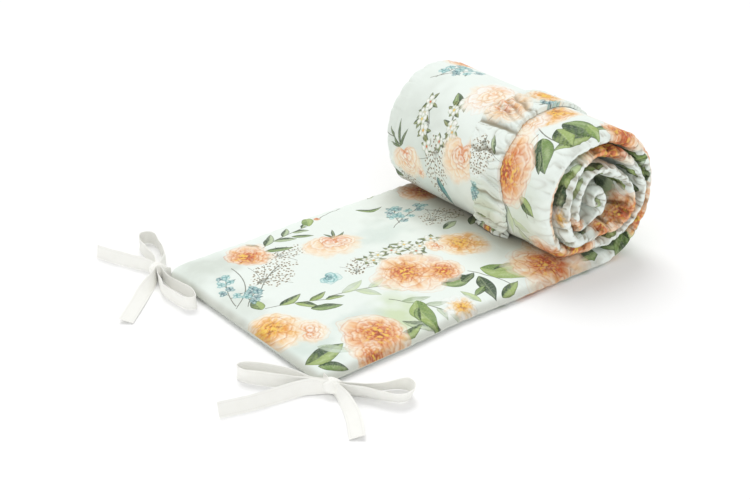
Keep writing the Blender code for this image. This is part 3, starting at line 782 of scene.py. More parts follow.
    def write(self, mesh):
        for name, values in self.colour.items():
            alpha = self.cover[name] if name != "wash" else np.ones(len(values))
            keep_on_points(mesh, f"print_{name}", "FLOAT_COLOR", (*values.T, alpha))
        nothing = self.along * 0.0
        keep_on_points(mesh, "print_inside", "FLOAT_VECTOR",
                       [self.inside[name] * MM for name in ("petal", "leaf", "spray")])
        keep_on_points(mesh, "print_stem", "FLOAT_VECTOR",
                       (self.stem_off * MM, self.stem_half * MM, nothing))
        keep_on_points(mesh, "cloth_place", "FLOAT_VECTOR", (self.along, self.across, nothing))


def keep_on_points(mesh, name, kind, columns):
    """Keep values on a mesh's points, as an attribute that the materials read."""
    field = {"FLOAT": "value", "FLOAT_VECTOR": "vector", "FLOAT_COLOR": "color"}[kind]
    values = np.stack(columns, axis=-1).astype(np.float32)
    mesh.attributes.new(name, kind, "POINT").data.foreach_set(field, values.ravel())


def arc(place, turn, length, bulge):
    """Start, middle handle and end of a curved stem."""
    c, s = math.cos(turn) * length, math.sin(turn) * length
    mid = (place[0] + c * 0.5 - s * bulge, place[1] + s * 0.5 + c * bulge)
    return place, mid, (place[0] + c, place[1] + s)


def halfway(one, other):
    return (one[0] + other[0]) / 2.0, (one[1] + other[1]) / 2.0


def beside(place, turn, distance):
    return place[0] + math.cos(turn) * distance, place[1] + math.sin(turn) * distance


def bezier(points, steps):
    """Points on a quadratic curve through three handles."""
    start, mid, end = (np.array(point[:2], dtype=float) for point in points)
    return [(1 - t) ** 2 * start + 2 * t * (1 - t) * mid + t * t * end
            for t in (step / steps for step in range(steps + 1))]


BLOSSOMS = {
    # petals of each ring (foot, body, rim), the heart, and how far the outer petals fade out
    "peony": (("orange", "peach", "cream"), ("orange", "peach", "cream"),
              ("ember", "apricot", "blush"), "ember", 0.55),
    "orange": (("orange", "peach", "cream"), ("ember", "apricot", "blush"),
               ("ember", "apricot", "blush"), "ember", 0.45),
    "pale": (("apricot", "blush", "cream"), ("apricot", "peach", "cream"),
             ("orange", "peach", "cream"), None, 0.95),
    "yellow": (("apricot", "blush", "cream"), ("amber", "peach", "cream"),
               ("orange", "amber", "cream"), "amber", 0.90),
    "aqua": (("teal", "aqua", "aqua"), ("teal", "aqua", "aqua"), ("slate", "teal", "aqua"), None, 0.2),
    "cream": (("peach", "cream", "white"), ("apricot", "cream", "white"),
              ("apricot", "blush", "cream"), None, 1.0),
    "white": (("haze", "white", "white"), ("shade", "white", "white"),
              ("yellow", "white", "white"), "amber", 0.5),
}

# its washes in shade are painted shade: on the flat run they darken the free end and the part towards
# the crease
FLAT_PRINT = motifs("""
    wash 36 262 0 34 1.5 shade 0.75; wash 20 170 80 26 1.9 shade 0.5;
    wash 310 170 80 30 1.9 shade 0.45; wash 300 235 0 45 1.4 shade 0.45;
    wash 128 40 40 30 1.8 pale_green 0.7; wash 235 200 10 30 1.5 haze 0.7;
    wash 25 55 90 24 1.8 haze 0.8; wash 90 60 10 20 2.2 haze 0.8;
    branch 98 258 8 90 sage deep 6 0.036; leaf 104 252 -22 36 0.28 leaf deep;
    leaf 182 270 62 32 0.46 fresh leaf; leaf 150 262 -35 28 0.26 leaf deep;
    blossom 85 256 120 32 orange 8 360 3; leaf 107 266 115 20 0.32 deep deep;
    stem 205 280 12 36 0.1; blossom 202 281 190 6 orange 5 200 40;
    blossom 176 222 238 44 pale 8 170 4; leaf 187 226 20 20 0.2 deep deep 0.1;
    leaf 187 226 62 23 0.18 deep deep; leaf 187 226 105 18 0.2 deep deep;
    leaf 187 226 150 17 0.2 deep deep; leaf 250 270 340 34 0.26 leaf deep 0.25;
    leaf 284 290 30 36 0.2 sage deep; sprig 12 172 66 62 5; sprig 20 160 40 36 6;
    stem 10 168 60 85 -0.3; stem 50 180 35 60 0.1; spray 80 203 20 22 1.5; spray 122 232 0 15 1.6;
    blossom 122 154 -70 15 aqua 6 200 5; branch 30 142 -22 66 fresh deep 4 0.038;
    leaf 26 142 78 30 0.5 fresh deep; leaf 68 112 -28 36 0.38 leaf deep;
    branch 98 120 -22 78 pale_green sage 5 0.04 0.25; blossom 14 98 60 44 yellow 9 360 8;
    blossom 36 74 340 28 pale 7 200 42; leaf 4 26 10 50 0.5 fresh deep;
    leaf 10 18 -35 30 0.42 leaf deep; leaf 28 46 -50 40 0.34 haze sage 0.0 0.3;
    blossom 88 28 80 43 orange 9 360 9; blossom 66 4 200 22 orange 7 360 43;
    branch 146 74 -62 70 sage leaf 5 0.038 0.35; leaf 128 30 -45 44 0.3 sage deep 0.1 0.2;
    leaf 104 6 10 40 0.3 fresh deep; leaf 146 20 -70 30 0.36 leaf deep;
    leaf 167 52 256 56 0.44 fresh leaf 0.1; leaf 160 40 236 30 0.26 leaf deep 0.1;
    blossom 200 100 70 47 peony 10 360 12; blossom 228 84 315 28 orange 8 220 14;
    buds 196 150 60 24 5 4; buds 246 150 20 24 5 6; spray 163 152 50 15 1.4;
    blossom 288 118 20 38 yellow 9 360 15; blossom 266 134 200 20 pale 6 200 44;
    leaf 210 60 -8 42 0.6 leaf deep; leaf 232 52 16 24 0.5 deep deep;
    leaf 266 62 -52 62 0.52 fresh leaf; leaf 276 50 -18 36 0.44 fresh deep;
    leaf 254 50 -108 50 0.34 deep deep; leaf 246 30 204 26 0.36 leaf deep; stem 252 66 -70 56 0.1;
    blossom 198 12 250 24 white 7 360 16; leaf 222 8 100 30 0.34 pale_green sage;
    leaf 248 4 20 36 0.36 fresh deep; sprig 254 200 22 72 11; sprig 268 206 60 44 12;
    spray 318 190 0 18 1.6; leaf 298 162 12 26 0.46 sage deep; leaf 330 150 40 30 0.34 leaf deep;
    blossom 344 262 180 36 orange 8 360 17; blossom 334 22 150 52 peony 10 360 18;
    blossom 356 60 60 28 pale 7 360 19; leaf 370 10 10 40 0.4 leaf deep; stem 315 215 -60 50 0.1""")

# its washes in shade are painted shade on the roll's outer face near where it comes down on the flat
# run
ROLL_PRINT = motifs("""
    wash 715 262 0 60 1.3 shade 0.45; wash 790 200 0 60 2.0 shade 0.4;
    wash 756 44 20 30 1.8 sage 0.3; blossom 578 286 0 40 orange 9 360 21; sprig 652 268 212 58 13;
    sprig 648 262 182 40 14; leaf 672 190 128 26 0.5 leaf deep; buds 700 222 40 24 5 8;
    buds 676 192 80 24 4 9; buds 706 184 10 24 3 10; spray 744 197 0 20 1.8;
    blossom 744 258 -25 36 pale 8 170 22; leaf 738 266 130 30 0.16 deep deep 0.1;
    leaf 738 266 168 32 0.15 deep deep; leaf 738 266 205 27 0.16 deep deep;
    leaf 738 266 90 22 0.16 deep deep; stem 735 268 100 34 0.1;
    blossom 757 228 180 12 pale 5 360 23; blossom 716 152 350 40 pale 8 220 24;
    leaf 752 194 -18 40 0.28 teal slate; blossom 645 172 200 36 cream 9 360 25;
    sprig 604 150 230 50 15; sprig 616 118 165 44 16; blossom 630 80 280 36 yellow 9 240 26;
    blossom 656 88 200 30 cream 8 360 27; blossom 706 69 330 44 orange 10 360 28;
    leaf 666 50 -46 46 0.58 leaf deep; leaf 680 40 -36 26 0.4 deep deep;
    leaf 650 48 -76 40 0.5 fresh deep; leaf 640 52 -92 50 0.52 leaf deep 0.1;
    leaf 626 30 -70 34 0.4 fresh leaf; stem 656 72 -80 40 0.1; leaf 730 44 -60 30 0.46 fresh deep;
    stem 664 60 -20 90 0.1; branch 736 72 -36 64 pale_green sage 5 0.036 0.35;
    leaf 786 74 0 40 0.3 sage leaf 0.0 0.4; leaf 790 290 150 40 0.42 leaf deep;
    leaf 780 276 100 34 0.3 deep deep; spray 778 262 0 16 1.4; blossom 802 12 90 34 orange 9 360 29;
    leaf 800 145 -20 34 0.4 leaf deep""")

# what shows along the near edge of the wound wraps, on both faces
EDGE_PRINT = motifs("""
    leaf 430 4 10 44 0.5 fresh deep; leaf 452 12 200 38 0.44 leaf deep;
    leaf 474 4 40 26 0.5 deep deep; leaf 490 8 60 24 0.46 fresh deep;
    leaf 506 12 10 34 0.38 sage leaf; leaf 522 6 120 22 0.5 deep deep;
    leaf 536 4 170 34 0.36 fresh deep; leaf 552 8 40 22 0.46 leaf deep;
    blossom 594 8 90 30 orange 9 360 51; leaf 636 10 20 40 0.46 fresh deep;
    blossom 812 4 60 30 orange 9 360 52; leaf 850 6 10 34 0.44 fresh deep;
    leaf 884 4 60 26 0.46 leaf deep; blossom 905 10 60 14 yellow 6 360 53;
    leaf 930 6 80 26 0.5 deep deep; leaf 948 6 30 26 0.5 fresh deep;
    leaf 964 10 100 22 0.44 leaf deep; blossom 1012 10 60 38 orange 10 360 54;
    leaf 1046 4 10 30 0.3 pale_green sage; leaf 1058 6 20 32 0.4 fresh leaf;
    leaf 1074 10 10 36 0.48 deep deep; blossom 1108 8 10 14 white 6 360 55;
    leaf 1136 6 20 30 0.34 haze sage 0.0 0.3; leaf 1156 8 70 26 0.5 deep deep;
    blossom 1184 10 10 22 orange 7 360 56; blossom 1218 10 20 36 orange 9 360 57;
    leaf 1250 10 30 30 0.5 fresh deep; leaf 1230 54 -36 46 0.66 sage deep;
    leaf 1266 40 -100 30 0.44 leaf deep; leaf 1268 6 70 26 0.44 leaf deep;
    leaf 1282 10 110 30 0.44 teal slate 0.0 0.35; leaf 1302 4 30 34 0.44 leaf deep;
    leaf 1330 6 10 30 0.34 pale_green sage; blossom 1385 10 10 16 orange 7 360 58;
    leaf 1420 8 10 30 0.4 pale_green sage""")

# the same along the far edge, turned round
FAR_EDGE_PRINT = tuple((kind, at, STRIP_WIDTH - over, 180.0 - degrees, size, more)
                       for kind, at, over, degrees, size, more in EDGE_PRINT)

# ---------------------------------------------------------------- node helper
class Graph:
    """Short names for making nodes."""

    def __init__(self, name):
        self.material = bpy.data.materials.new(name)
        self.material.use_nodes = True
        self.tree = self.material.node_tree
        self.shader = self.tree.nodes["Principled BSDF"]

    def node(self, kind, **inputs):
        made = self.tree.nodes.new(kind)
        for name, value in inputs.items():
            self.feed(made.inputs[name.replace("_", " ")], value)
        return made

    def feed(self, socket, value):
        if isinstance(value, bpy.types.NodeSocket):
            self.tree.links.new(value, socket)
        else:
            socket.default_value = value

    def attribute(self, name, output="Vector"):
        made = self.tree.nodes.new("ShaderNodeAttribute")
        made.attribute_name = name
        return made.outputs[output]

    def math(self, operation, *values, clamp=False):
        made = self.tree.nodes.new("ShaderNodeMath")
        made.operation = operation
        made.use_clamp = clamp
        for socket, value in zip(made.inputs, values):
            self.feed(socket, value)
        return made.outputs[0]

    def times(self, one, other):
        return self.math("MULTIPLY", one, other)

    def mix(self, factor, one, other, blend="MIX"):
        made = self.tree.nodes.new("ShaderNodeMix")
        made.data_type = "RGBA"
        made.blend_type = blend
        for index, value in ((0, factor), (6, one), (7, other)):
            self.feed(made.inputs[index], value)
        return made.outputs[2]

    def step(self, value, low, high):
        made = self.node("ShaderNodeMapRange", Value=value)
        made.interpolation_type = "SMOOTHSTEP"
        made.inputs["From Min"].default_value = low
        made.inputs["From Max"].default_value = high
        return made.outputs["Result"]

    def noise(self, place, scale, detail=2.0, roughness=0.5):
        made = self.node("ShaderNodeTexNoise", Vector=place, Scale=scale, Detail=detail,
                         Roughness=roughness)
        return made.outputs["Fac"]

    def split(self, vector):
        return self.node("ShaderNodeSeparateXYZ", Vector=vector).outputs

    def finish(self, colour, bump=None, **values):
        """Connect the colour and the bump, set the shader's other values and give the material."""
        self.feed(self.shader.inputs["Base Color"], colour)
        for name, value in values.items():
            self.shader.inputs[name.replace("_", " ")].default_value = value
        if bump:
            height, strength, distance = bump
            made = self.node("ShaderNodeBump", Strength=strength, Distance=distance, Height=height)
            self.feed(self.shader.inputs["Normal"], made.outputs["Normal"])
        return self.material


def weave(graph, place, pitch):
    """Plain weave: warp and weft bumps in turn, 0 to 1."""
    along, across, _ = graph.split(place)
    turns = 2.0 * math.pi / pitch
    one = graph.math("SINE", graph.times(along, turns))
    other = graph.math("SINE", graph.times(across, turns))
    return graph.math("MULTIPLY_ADD", graph.times(one, other), 0.5, 0.5)


def four(colour):
    return tuple(float(value) for value in linear(colour)) + (1.0,)


def print_material(name):
    """Printed cotton: the mesh's print layers with edges sharpened, on a fine plain weave, with painted
    shade.
    """
    graph = Graph(name)
    place = graph.attribute("cloth_place")
    petal_in, leaf_in, spray_in = graph.split(graph.attribute("print_inside"))
    stem_off, stem_half, _ = graph.split(graph.attribute("print_stem"))
    rough = graph.math("SUBTRACT", graph.noise(place, 210.0, 3.0, 0.6), 0.5)
    wander = graph.times(rough, 0.5)
    cloud = graph.noise(place, 60.0, 4.0, 0.55)
    colour = graph.mix(graph.times(graph.step(cloud, 0.45, 0.75), 0.35),
                       graph.attribute("print_wash", "Color"), four(PAPER_CLOUD))
    # seed heads
    cells = graph.node("ShaderNodeTexVoronoi", Vector=place, Scale=225.0, Randomness=0.9)
    cells.voronoi_dimensions = "2D"
    gap = cells.outputs["Distance"]
    in_spray = graph.step(spray_in, -0.5, 2.0)
    halo = graph.times(graph.step(gap, 0.50, 0.25), graph.times(in_spray, 0.55))
    dots = graph.times(graph.step(gap, 0.29, 0.20), in_spray)
    colour = graph.mix(halo, colour, four(HALO_COLOUR))
    colour = graph.mix(graph.times(dots, 0.85), colour, four(DOT_COLOUR))
    # stems
    away = graph.math("SUBTRACT", graph.math("ABSOLUTE", stem_off), stem_half)
    away = graph.math("MULTIPLY_ADD", rough, 0.5, away)
    colour = graph.mix(graph.times(graph.step(away, 0.25, -0.15), 0.8), colour, four(STEM_COLOUR))
    # leaves and blossoms, with specks of bare cloth
    grain = graph.noise(place, 420.0, 3.0, 0.65)
    for layer, inside, sharp in (("print_leaf", leaf_in, 0.30), ("print_petal", petal_in, 0.45)):
        edge = graph.math("ADD", inside, wander)
        pigment = graph.attribute(layer, "Color")
        specks = graph.times(graph.step(grain, 0.42, 0.72), 0.16)
        pigment = graph.mix(specks, pigment, four(GRAIN_COLOUR))
        full = graph.times(graph.step(edge, -sharp, sharp), graph.attribute(layer, "Alpha"))
        colour = graph.mix(full, colour, pigment)
    threads = weave(graph, place, COTTON_PITCH)
    colour = graph.mix(graph.times(threads, 0.05), colour, four(THREAD_COLOUR))
    # painted shade: the print is darkened towards FOLD_SHADE as far as the shade kept on each point
    # says
    depth = graph.attribute("painted_fold_shade", "Fac")
    colour = graph.mix(depth, colour, graph.mix(1.0, colour, four(FOLD_SHADE), "MULTIPLY"))
    folds = graph.noise(place, 95.0, 3.0, 0.55)
    height = graph.math("MULTIPLY_ADD", threads, 0.05, graph.times(folds, 0.9))
    return graph.finish(colour, (height, 0.55, 0.0010), Roughness=0.88, Sheen_Weight=0.12,
                        Sheen_Roughness=0.5, Specular_IOR_Level=0.25)


def tape_material(name):
    """Ivory twill tape with a stitched edge."""
    graph = Graph(name)
    place = graph.attribute("cloth_place")
    along, across, _ = graph.split(place)
    whole_turn = 2.0 * math.pi
    rib = graph.math("SINE", graph.times(graph.math("ADD", along, across), whole_turn / TWILL_PITCH))
    from_edge = graph.math("SUBTRACT", 0.5 * TAPE_WIDTH, graph.math("ABSOLUTE", across))
    off_line = graph.math("ABSOLUTE", graph.math("SUBTRACT", from_edge, STITCH_INSET))
    line = graph.step(off_line, 0.0004, 0.0001)
    stitch = graph.math("SINE", graph.times(along, whole_turn / STITCH_PITCH))
    stitched = graph.times(line, graph.step(stitch, -0.5, 0.2))
    cloud = graph.noise(place, 90.0, 3.0, 0.55)
    colour = graph.mix(graph.times(cloud, 0.35), four(IVORY), four(IVORY_CLOUD))
    colour = graph.mix(graph.times(stitched, 0.25), colour, four(STITCH_COLOUR))
    height = graph.math("MULTIPLY_ADD", rib, 0.08, graph.times(cloud, 0.8))
    height = graph.math("SUBTRACT", height, graph.times(stitched, 0.3))
    return graph.finish(colour, (height, 0.6, 0.0009), Roughness=0.9, Sheen_Weight=0.15,
                        Specular_IOR_Level=0.25)


# ---------------------------------------------------------------- meshes
def add_item(name, data):
    item = bpy.data.objects.new(name, data)
    bpy.context.collection.objects.link(item)
    return item


def tube(rings, count, first=0):
    """Numbers of the points of closed rings, and the quads between the rings."""
    index = np.arange(rings * count).reshape(rings, count) + first
    after = np.roll(index, -1, axis=1)
    quads = np.stack((index[:-1], index[1:], after[1:], after[:-1]), axis=-1).reshape(-1, 4)
    return index.tolist(), quads.tolist()


def add_cloth(name, points, faces, material):
    """A smooth body of one material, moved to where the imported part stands."""
    mesh = bpy.data.meshes.new(name)
    mesh.from_pydata((points.reshape(-1, 3) + ROW_SHIFT).tolist(), [], faces)
    mesh.shade_smooth()
    mesh.materials.append(material)
    return add_item(name, mesh)


def end_faces(ring, thin):
    """Close a ring with one face, or the end of a thin sheet with a row of quads."""
    if not thin:
        return [ring]
    other = ring[::-1]
    return [[ring[i], ring[i + 1], other[i + 1], other[i]] for i in range(len(ring) // 2 - 1)]


def ring_mesh(name, points, material, thin=False):
    """A body from closed rings of points; the first and last ring only shape the normals."""
    ahead, behind = points[2:], points[:-2]
    run = ahead - behind
    inner = points[1:-1]
    turn = np.roll(inner, -1, axis=1) - np.roll(inner, 1, axis=1)
    normals = np.cross(run, turn)
    normals /= np.maximum(np.linalg.norm(normals, axis=-1, keepdims=True), 1e-12)
    index, faces = tube(*inner.shape[:2])
    faces += end_faces(index[0], thin)
    faces += [face[::-1] for face in end_faces(index[-1], thin)]
    item = add_cloth(name, inner, faces, material)
    outward = np.einsum("ij,ij->i", normals[0], inner[0] - inner[0].mean(axis=0)).sum()
    if outward < 0.0:
        normals = -normals
        item.data.flip_normals()
    item.data.normals_split_custom_set_from_vertices(normals.reshape(-1, 3).tolist())
    return item


def edge_spacing(fine, rim):
    """Places across the strip, 0 to STRIP_WIDTH: close at the seams, then one every fine."""
    close = np.array(rim)
    middle = np.arange(close[-1] + fine, STRIP_WIDTH - close[-1] - fine * 0.5, fine)
    return np.concatenate((close, middle, STRIP_WIDTH - close[::-1]))


RIM_SHORT = (0.0, 0.00015, 0.0006, 0.0013, 0.0022, 0.0033, 0.0046, 0.0060, 0.0075, 0.0090, 0.0105,
             0.0120)
RIM_CLOSE = (*RIM_SHORT[:4], *np.arange(0.0020, 0.0330, 0.0011), *np.arange(0.0340, 0.060, 0.0024))
CREASE_ON_FLAT = 0.343
CREASE_ON_ROLL = 0.806
# where the strip is parted into pieces, and how close the points of its two seen faces are
FLAT_SPLIT = 0.180
BACK_SPLIT = 0.572
ROLL_PIECE_DEGREES = 372.0
FLAT_GRID = 0.00098
ROLL_GRID = 0.00108


def strip_rings(alongs, top, under):
    """Closed rings of the strip: the top face from near to far, then the underside back."""
    upper = strip_surface(alongs[:, None], top[None, :], 1)
    lower = strip_surface(alongs[:, None], under[None, 1:-1][:, ::-1], -1)
    return np.concatenate((upper, lower), axis=1)


def ring_places(alongs, top, under):
    """Place on the cloth of each point of those rings, and which of them are on the top face."""
    across = np.concatenate((top, under[1:-1][::-1]))
    on_top = np.arange(len(across)) < len(top)
    return np.broadcast_arrays(alongs[:, None], across[None, :], on_top[None, :])


def strip_piece(name, alongs, top, under, material, top_rows, under_rows):
    """One length of the strip, with its print."""
    before, after = min(alongs[1] - alongs[0], 0.0015), min(alongs[-1] - alongs[-2], 0.0015)
    extended = np.concatenate(([alongs[0] - before], alongs, [alongs[-1] + after]))
    item = ring_mesh(name, strip_rings(np.clip(extended, 0.0, TOTAL), top, under), material)
    along, across, is_top = (values.ravel() for values in ring_places(alongs, top, under))
    whole = Print(along, across)
    for rows, chosen in ((top_rows, is_top), (under_rows, ~is_top)):
        face = Print(along[chosen], across[chosen])
        for motif_rows, shift in rows:
            face.paint(motif_rows, shift)
        whole.take(face, chosen)
    whole.write(item.data)
    shade_folds(item, strip_shade(alongs, top, under))
    return item


def shade_folds(item, depth):
    """Keep painted shade on the points, 0 to 1; the material darkens the print there."""
    keep_on_points(item.data, "painted_fold_shade", "FLOAT", (np.clip(depth, 0.0, 1.0).ravel(),))


def strip_shade(alongs, top, under):
    """Painted shade, 0 to 1: in the puckers, creases and crumples, along the flat run's near edge and
    free end, and where the roll comes down on the flat run.
    """
    along, across, is_top = ring_places(alongs, top, under)
    # painted shade on both faces where the roll comes down on the flat run
    wander = 0.006 * drift(across, 0.045, 91)
    from_crease = np.abs(along + wander - CREASE_ON_FLAT)
    close, wide = smooth_step(1.0 - from_crease / 0.040), smooth_step(1.0 - from_crease / 0.090)
    flat_crease_shade = np.maximum(close, 0.50 * wide) * is_top
    roll_crease_shade = smooth_step(1.0 - np.abs(along + wander - CREASE_ON_ROLL) / 0.034) * ~is_top
    pulled_in = puckers(alongs[:, None], across, 0.0)
    strength = 0.30 + 0.45 * smooth_step((across - 0.03) / 0.06)
    face = np.where(is_top, 1, -1)
    wound = smooth_step((along - 1.10) / 0.05)
    # painted shade in the troughs listed for the top face, deep in the roll
    radial_fold_shade = smooth_step(-creased(along, across, 1) / 0.0024) * is_top * wound
    near, _, place = place_between_seams(along, across)
    from_edge = np.minimum(place - near, along)
    # painted shade along the flat run's near edge and its free end
    edge_shade = 0.38 * smooth_step(1.15 - from_edge / 0.0075) * (along < FLAT_LENGTH)
    return np.maximum.reduce((
        edge_shade, strength * np.maximum(flat_crease_shade, roll_crease_shade), 0.85 * smooth_step(pulled_in / 0.0046 - 0.10),
        0.80 * crumple(along, across, face), 0.85 * radial_fold_shade))


def build_strip(material):
    """The five pieces of the strip, from the free end into the roll."""
    end = np.concatenate(((0.0004, 0.0012, 0.0022, 0.0033, 0.0045),
                          np.arange(0.0057, FLAT_SPLIT, FLAT_GRID), [FLAT_SPLIT]))
    flat = np.concatenate((np.arange(FLAT_SPLIT, 0.350, FLAT_GRID),
                           np.arange(0.352, FLAT_LENGTH, 0.004)))
    flat[-1] = FLAT_LENGTH
    roll_end = float(np.interp(ROLL_PIECE_DEGREES, WINDING[6], WINDING[0]))
    back = np.append(np.arange(FLAT_LENGTH, BACK_SPLIT - 0.0005, 0.0015), BACK_SPLIT)
    roll = np.append(np.arange(BACK_SPLIT, roll_end - 0.0005, ROLL_GRID), roll_end)
    core = np.arange(roll_end, TOTAL - 0.004, 0.0013)
    core = np.concatenate((core, TOTAL - np.array((0.0030, 0.0018, 0.0008, 0.0002))))
    fine, roll_fine, back_fine, plain = (edge_spacing(grid, RIM_SHORT)
                                         for grid in (FLAT_GRID, ROLL_GRID, 0.0016, 0.020))
    coarse = edge_spacing(0.030, RIM_CLOSE)
    # each print with how far it is moved along
    edges = ((EDGE_PRINT, 0.0), (FAR_EDGE_PRINT, 0.047))
    flat_top, wound_top = ((FLAT_PRINT, 0.0),), ((FLAT_PRINT, 0.40), *edges)
    flat_under = ((FLAT_PRINT, 0.22),)
    wound_under = (*flat_under, edges[0], (ROLL_PRINT, 0.0))
    return [strip_piece(name, alongs, top, under, material, top_rows, under_rows)
            for name, alongs, top, under, top_rows, under_rows in (
                ("bumper_flat_end", end, fine, plain, flat_top, flat_under),
                ("bumper_flat_run", flat, fine, plain, flat_top, flat_under),
                ("bumper_roll_back", back, plain, back_fine, wound_top, wound_under),
                ("bumper_roll", roll, plain, roll_fine, wound_top, (*wound_under, (FLAT_PRINT, 0.84))),
                ("bumper_core", core, coarse, coarse, edges, edges))]


def band_path():
    """Foot of the strap at fine steps: distance, point, outward normal, and where it folds."""
    turned = [BAND_START_DEGREES]
    while turned[-1] < BAND_LEAVE_DEGREES:
        reach = float(outer_radius(turned[-1])) + BAND_GAP
        turned.append(turned[-1] + math.degrees(BAND_STEP / reach))
    turned = np.array(turned)
    out_x, out_z = radial(turned)
    reach = outer_radius(turned) + BAND_GAP
    feet = list(np.stack((ROLL_AXIS_X + out_x * reach, ROLL_HALF_HEIGHT + out_z * reach), axis=-1))
    normals = list(np.stack((out_x, out_z), axis=-1))
    out, leave = normals[-1], feet[-1]
    floor = PAD_FLAT + BAND_GAP
    bend = (leave[1] - floor) / (1.0 - out[1])
    centre = leave + out * bend
    start = math.atan2(-out[1], -out[0])
    sweep = start + math.pi / 2.0
    steps = max(8, round(bend * sweep / BAND_STEP))
    for index in range(1, steps + 1):
        angle = start - sweep * index / steps
        side = np.array((math.cos(angle), math.sin(angle)))
        feet.append(centre + side * bend)
        normals.append(-side)
    fold_at = len(feet)
    for index in range(1, 11):
        feet.append(feet[fold_at - 1] - np.array((BAND_LYING_LENGTH * index / 10.0, 0.0)))
        normals.append(np.array((0.0, 1.0)))
    feet, normals = np.array(feet), np.array(normals)
    along = travelled(feet)
    bend_turns = BAND_LEAVE_DEGREES + np.arange(1, len(feet) - len(turned) + 1) * 0.01
    return along, feet, normals, along[fold_at - 1], np.concatenate((turned, bend_turns))


def build_band(material):
    """The gathered strap: pleats across it, uneven, flattest where it starts and folds."""
    along, feet, normals, fold, turned = band_path()
    total = along[-1]
    widths = np.concatenate(((-1.0, -0.985, -0.955), np.linspace(-0.91, 0.91, 44), (0.955, 0.985, 1.0)))
    a, w = along[:, None], widths[None, :]
    tangents = np.stack((normals[:, 1], -normals[:, 0]), axis=-1)
    centre, half, fullness = (eased(BAND_EDGES, column, turned)[:, None] for column in (1, 2, 3))
    slant = 0.0060 * noise(a / 0.030, w * 1.3, 41) + 0.0040 * w * drift(a, 0.040, 42)
    phase = (a + slant) / BAND_PLEAT_PITCH + 1.15 * noise(a / 0.024, w * 0.9, 43)
    ridge = np.abs(np.sin(math.pi * phase)) ** 0.75
    small = np.abs(np.sin(math.pi * (phase * 1.9 + 1.1 * noise(a / 0.018, w * 2.4, 47)))) ** 0.8
    strength = 0.72 + 0.28 * noise(a / 0.022, w * 1.0, 44)
    plain = smooth_step(np.minimum(a, total - a) / 0.012)
    turning = smooth_step(np.abs(a - fold + 0.005) / 0.014)
    pleats = 0.62 * ridge + 0.38 * small
    low_line = np.zeros(phase.shape)
    for at_far, at_near, width, sink in BAND_FOLDS:
        line = 0.5 * (at_far + at_near) + 0.5 * (at_far - at_near) * w
        line = line + 1.6 * noise(w * 2.1, sink * 900.0, 52)
        off = np.radians(line - turned[:, None]) * ROLL_HALF_HEIGHT
        low = np.exp(-(off / width) ** 2) * sink / BAND_DEEPEST_FOLD * (1.0 - 0.25 * w * w)
        low_line = np.maximum(low_line, low)
    puff = 0.42 * (0.75 + 0.25 * noise(a / 0.020, w * 1.2, 53))
    height = puff + (1.0 - puff) * fullness * strength * pleats
    height = BAND_PLEAT * plain * turning * np.maximum(height - 0.85 * low_line, 0.0)
    # painted shade in the pleats' valleys and along the deep folds
    depth = smooth_step(1.30 - pleats / 0.42) * plain * fullness
    depth = depth * (0.60 + 0.25 * noise(a / 0.02, w * 1.5, 46))
    depth = np.maximum(depth, 0.90 * smooth_step(low_line * 1.1 - 0.1))
    half = half + 0.0012 * (ridge[:, :1] - 0.5) + 0.0012 * drift(a, 0.009, 5)
    across = centre + w * half
    lean = 0.55 * noise(a / 0.026, w * 0.6, 45)
    lying = a > fold
    spread = (1.0 - np.abs(w) ** 3) * (0.62 + 0.38 * noise(w * 3.4 + 0.3, w * 0.0, 49))
    bunch = np.maximum(0.0, np.sin(math.pi * np.clip((a - fold) / BAND_LYING_LENGTH, 0.0, 1.0))) ** 0.6
    lobes = np.abs(np.sin(math.pi * (2.7 * w + 0.6 * noise(w * 2.2, a / 0.006, 48)))) ** 0.8
    height = np.where(lying, BAND_BUNCH * bunch * (0.28 + 0.60 * lobes) * (1.0 - w ** 4), height)
    # painted shade over the strap's end where it folds and lies on the flat run, darkest between the
    # bunch's lobes
    bunch_shade = 0.25 + 0.75 * smooth_step(1.1 - 1.7 * lobes)
    depth = np.where(a > fold - 0.008, np.maximum(depth, bunch_shade), depth)
    hem = crown(w, 5.0)
    rise = BAND_CLOTH + height * (0.75 + 0.25 * hem) * (np.abs(w) < 0.999)
    rise = np.where(np.abs(w) > 0.999, BAND_CLOTH * 0.6, rise)
    slide = np.where(lying, (a - fold) * (1.0 - spread), lean * (rise - BAND_CLOTH))
    low = np.maximum(rise - BAND_CLOTH, 0.0) * (np.abs(w) < 0.97)

    def lifted(by):
        x, z = (feet[:, axis, None] + normals[:, axis, None] * by + tangents[:, axis, None] * slide
                for axis in (0, 1))
        return np.stack((x, across, z), axis=-1)

    def round_about(values):
        """Values of the outer face, then the same back along the inner one."""
        return np.concatenate((values, values[:, ::-1]), axis=1)

    face, under = lifted(rise), lifted(low)
    points = np.concatenate((face, under[:, ::-1]), axis=1)
    ends = np.concatenate((points[:1] * 2.0 - points[1:2], points, points[-1:] * 2.0 - points[-2:-1]))
    item = ring_mesh("gathered_strap", ends, material, thin=True)
    shade_folds(item, round_about(depth))
    cloth = Print(round_about(0.40 + a * 1.45 + 0.0 * w), round_about(across + 0.0 * a))
    cloth.paint(BAND_PRINT)
    cloth.write(item.data)
    return item


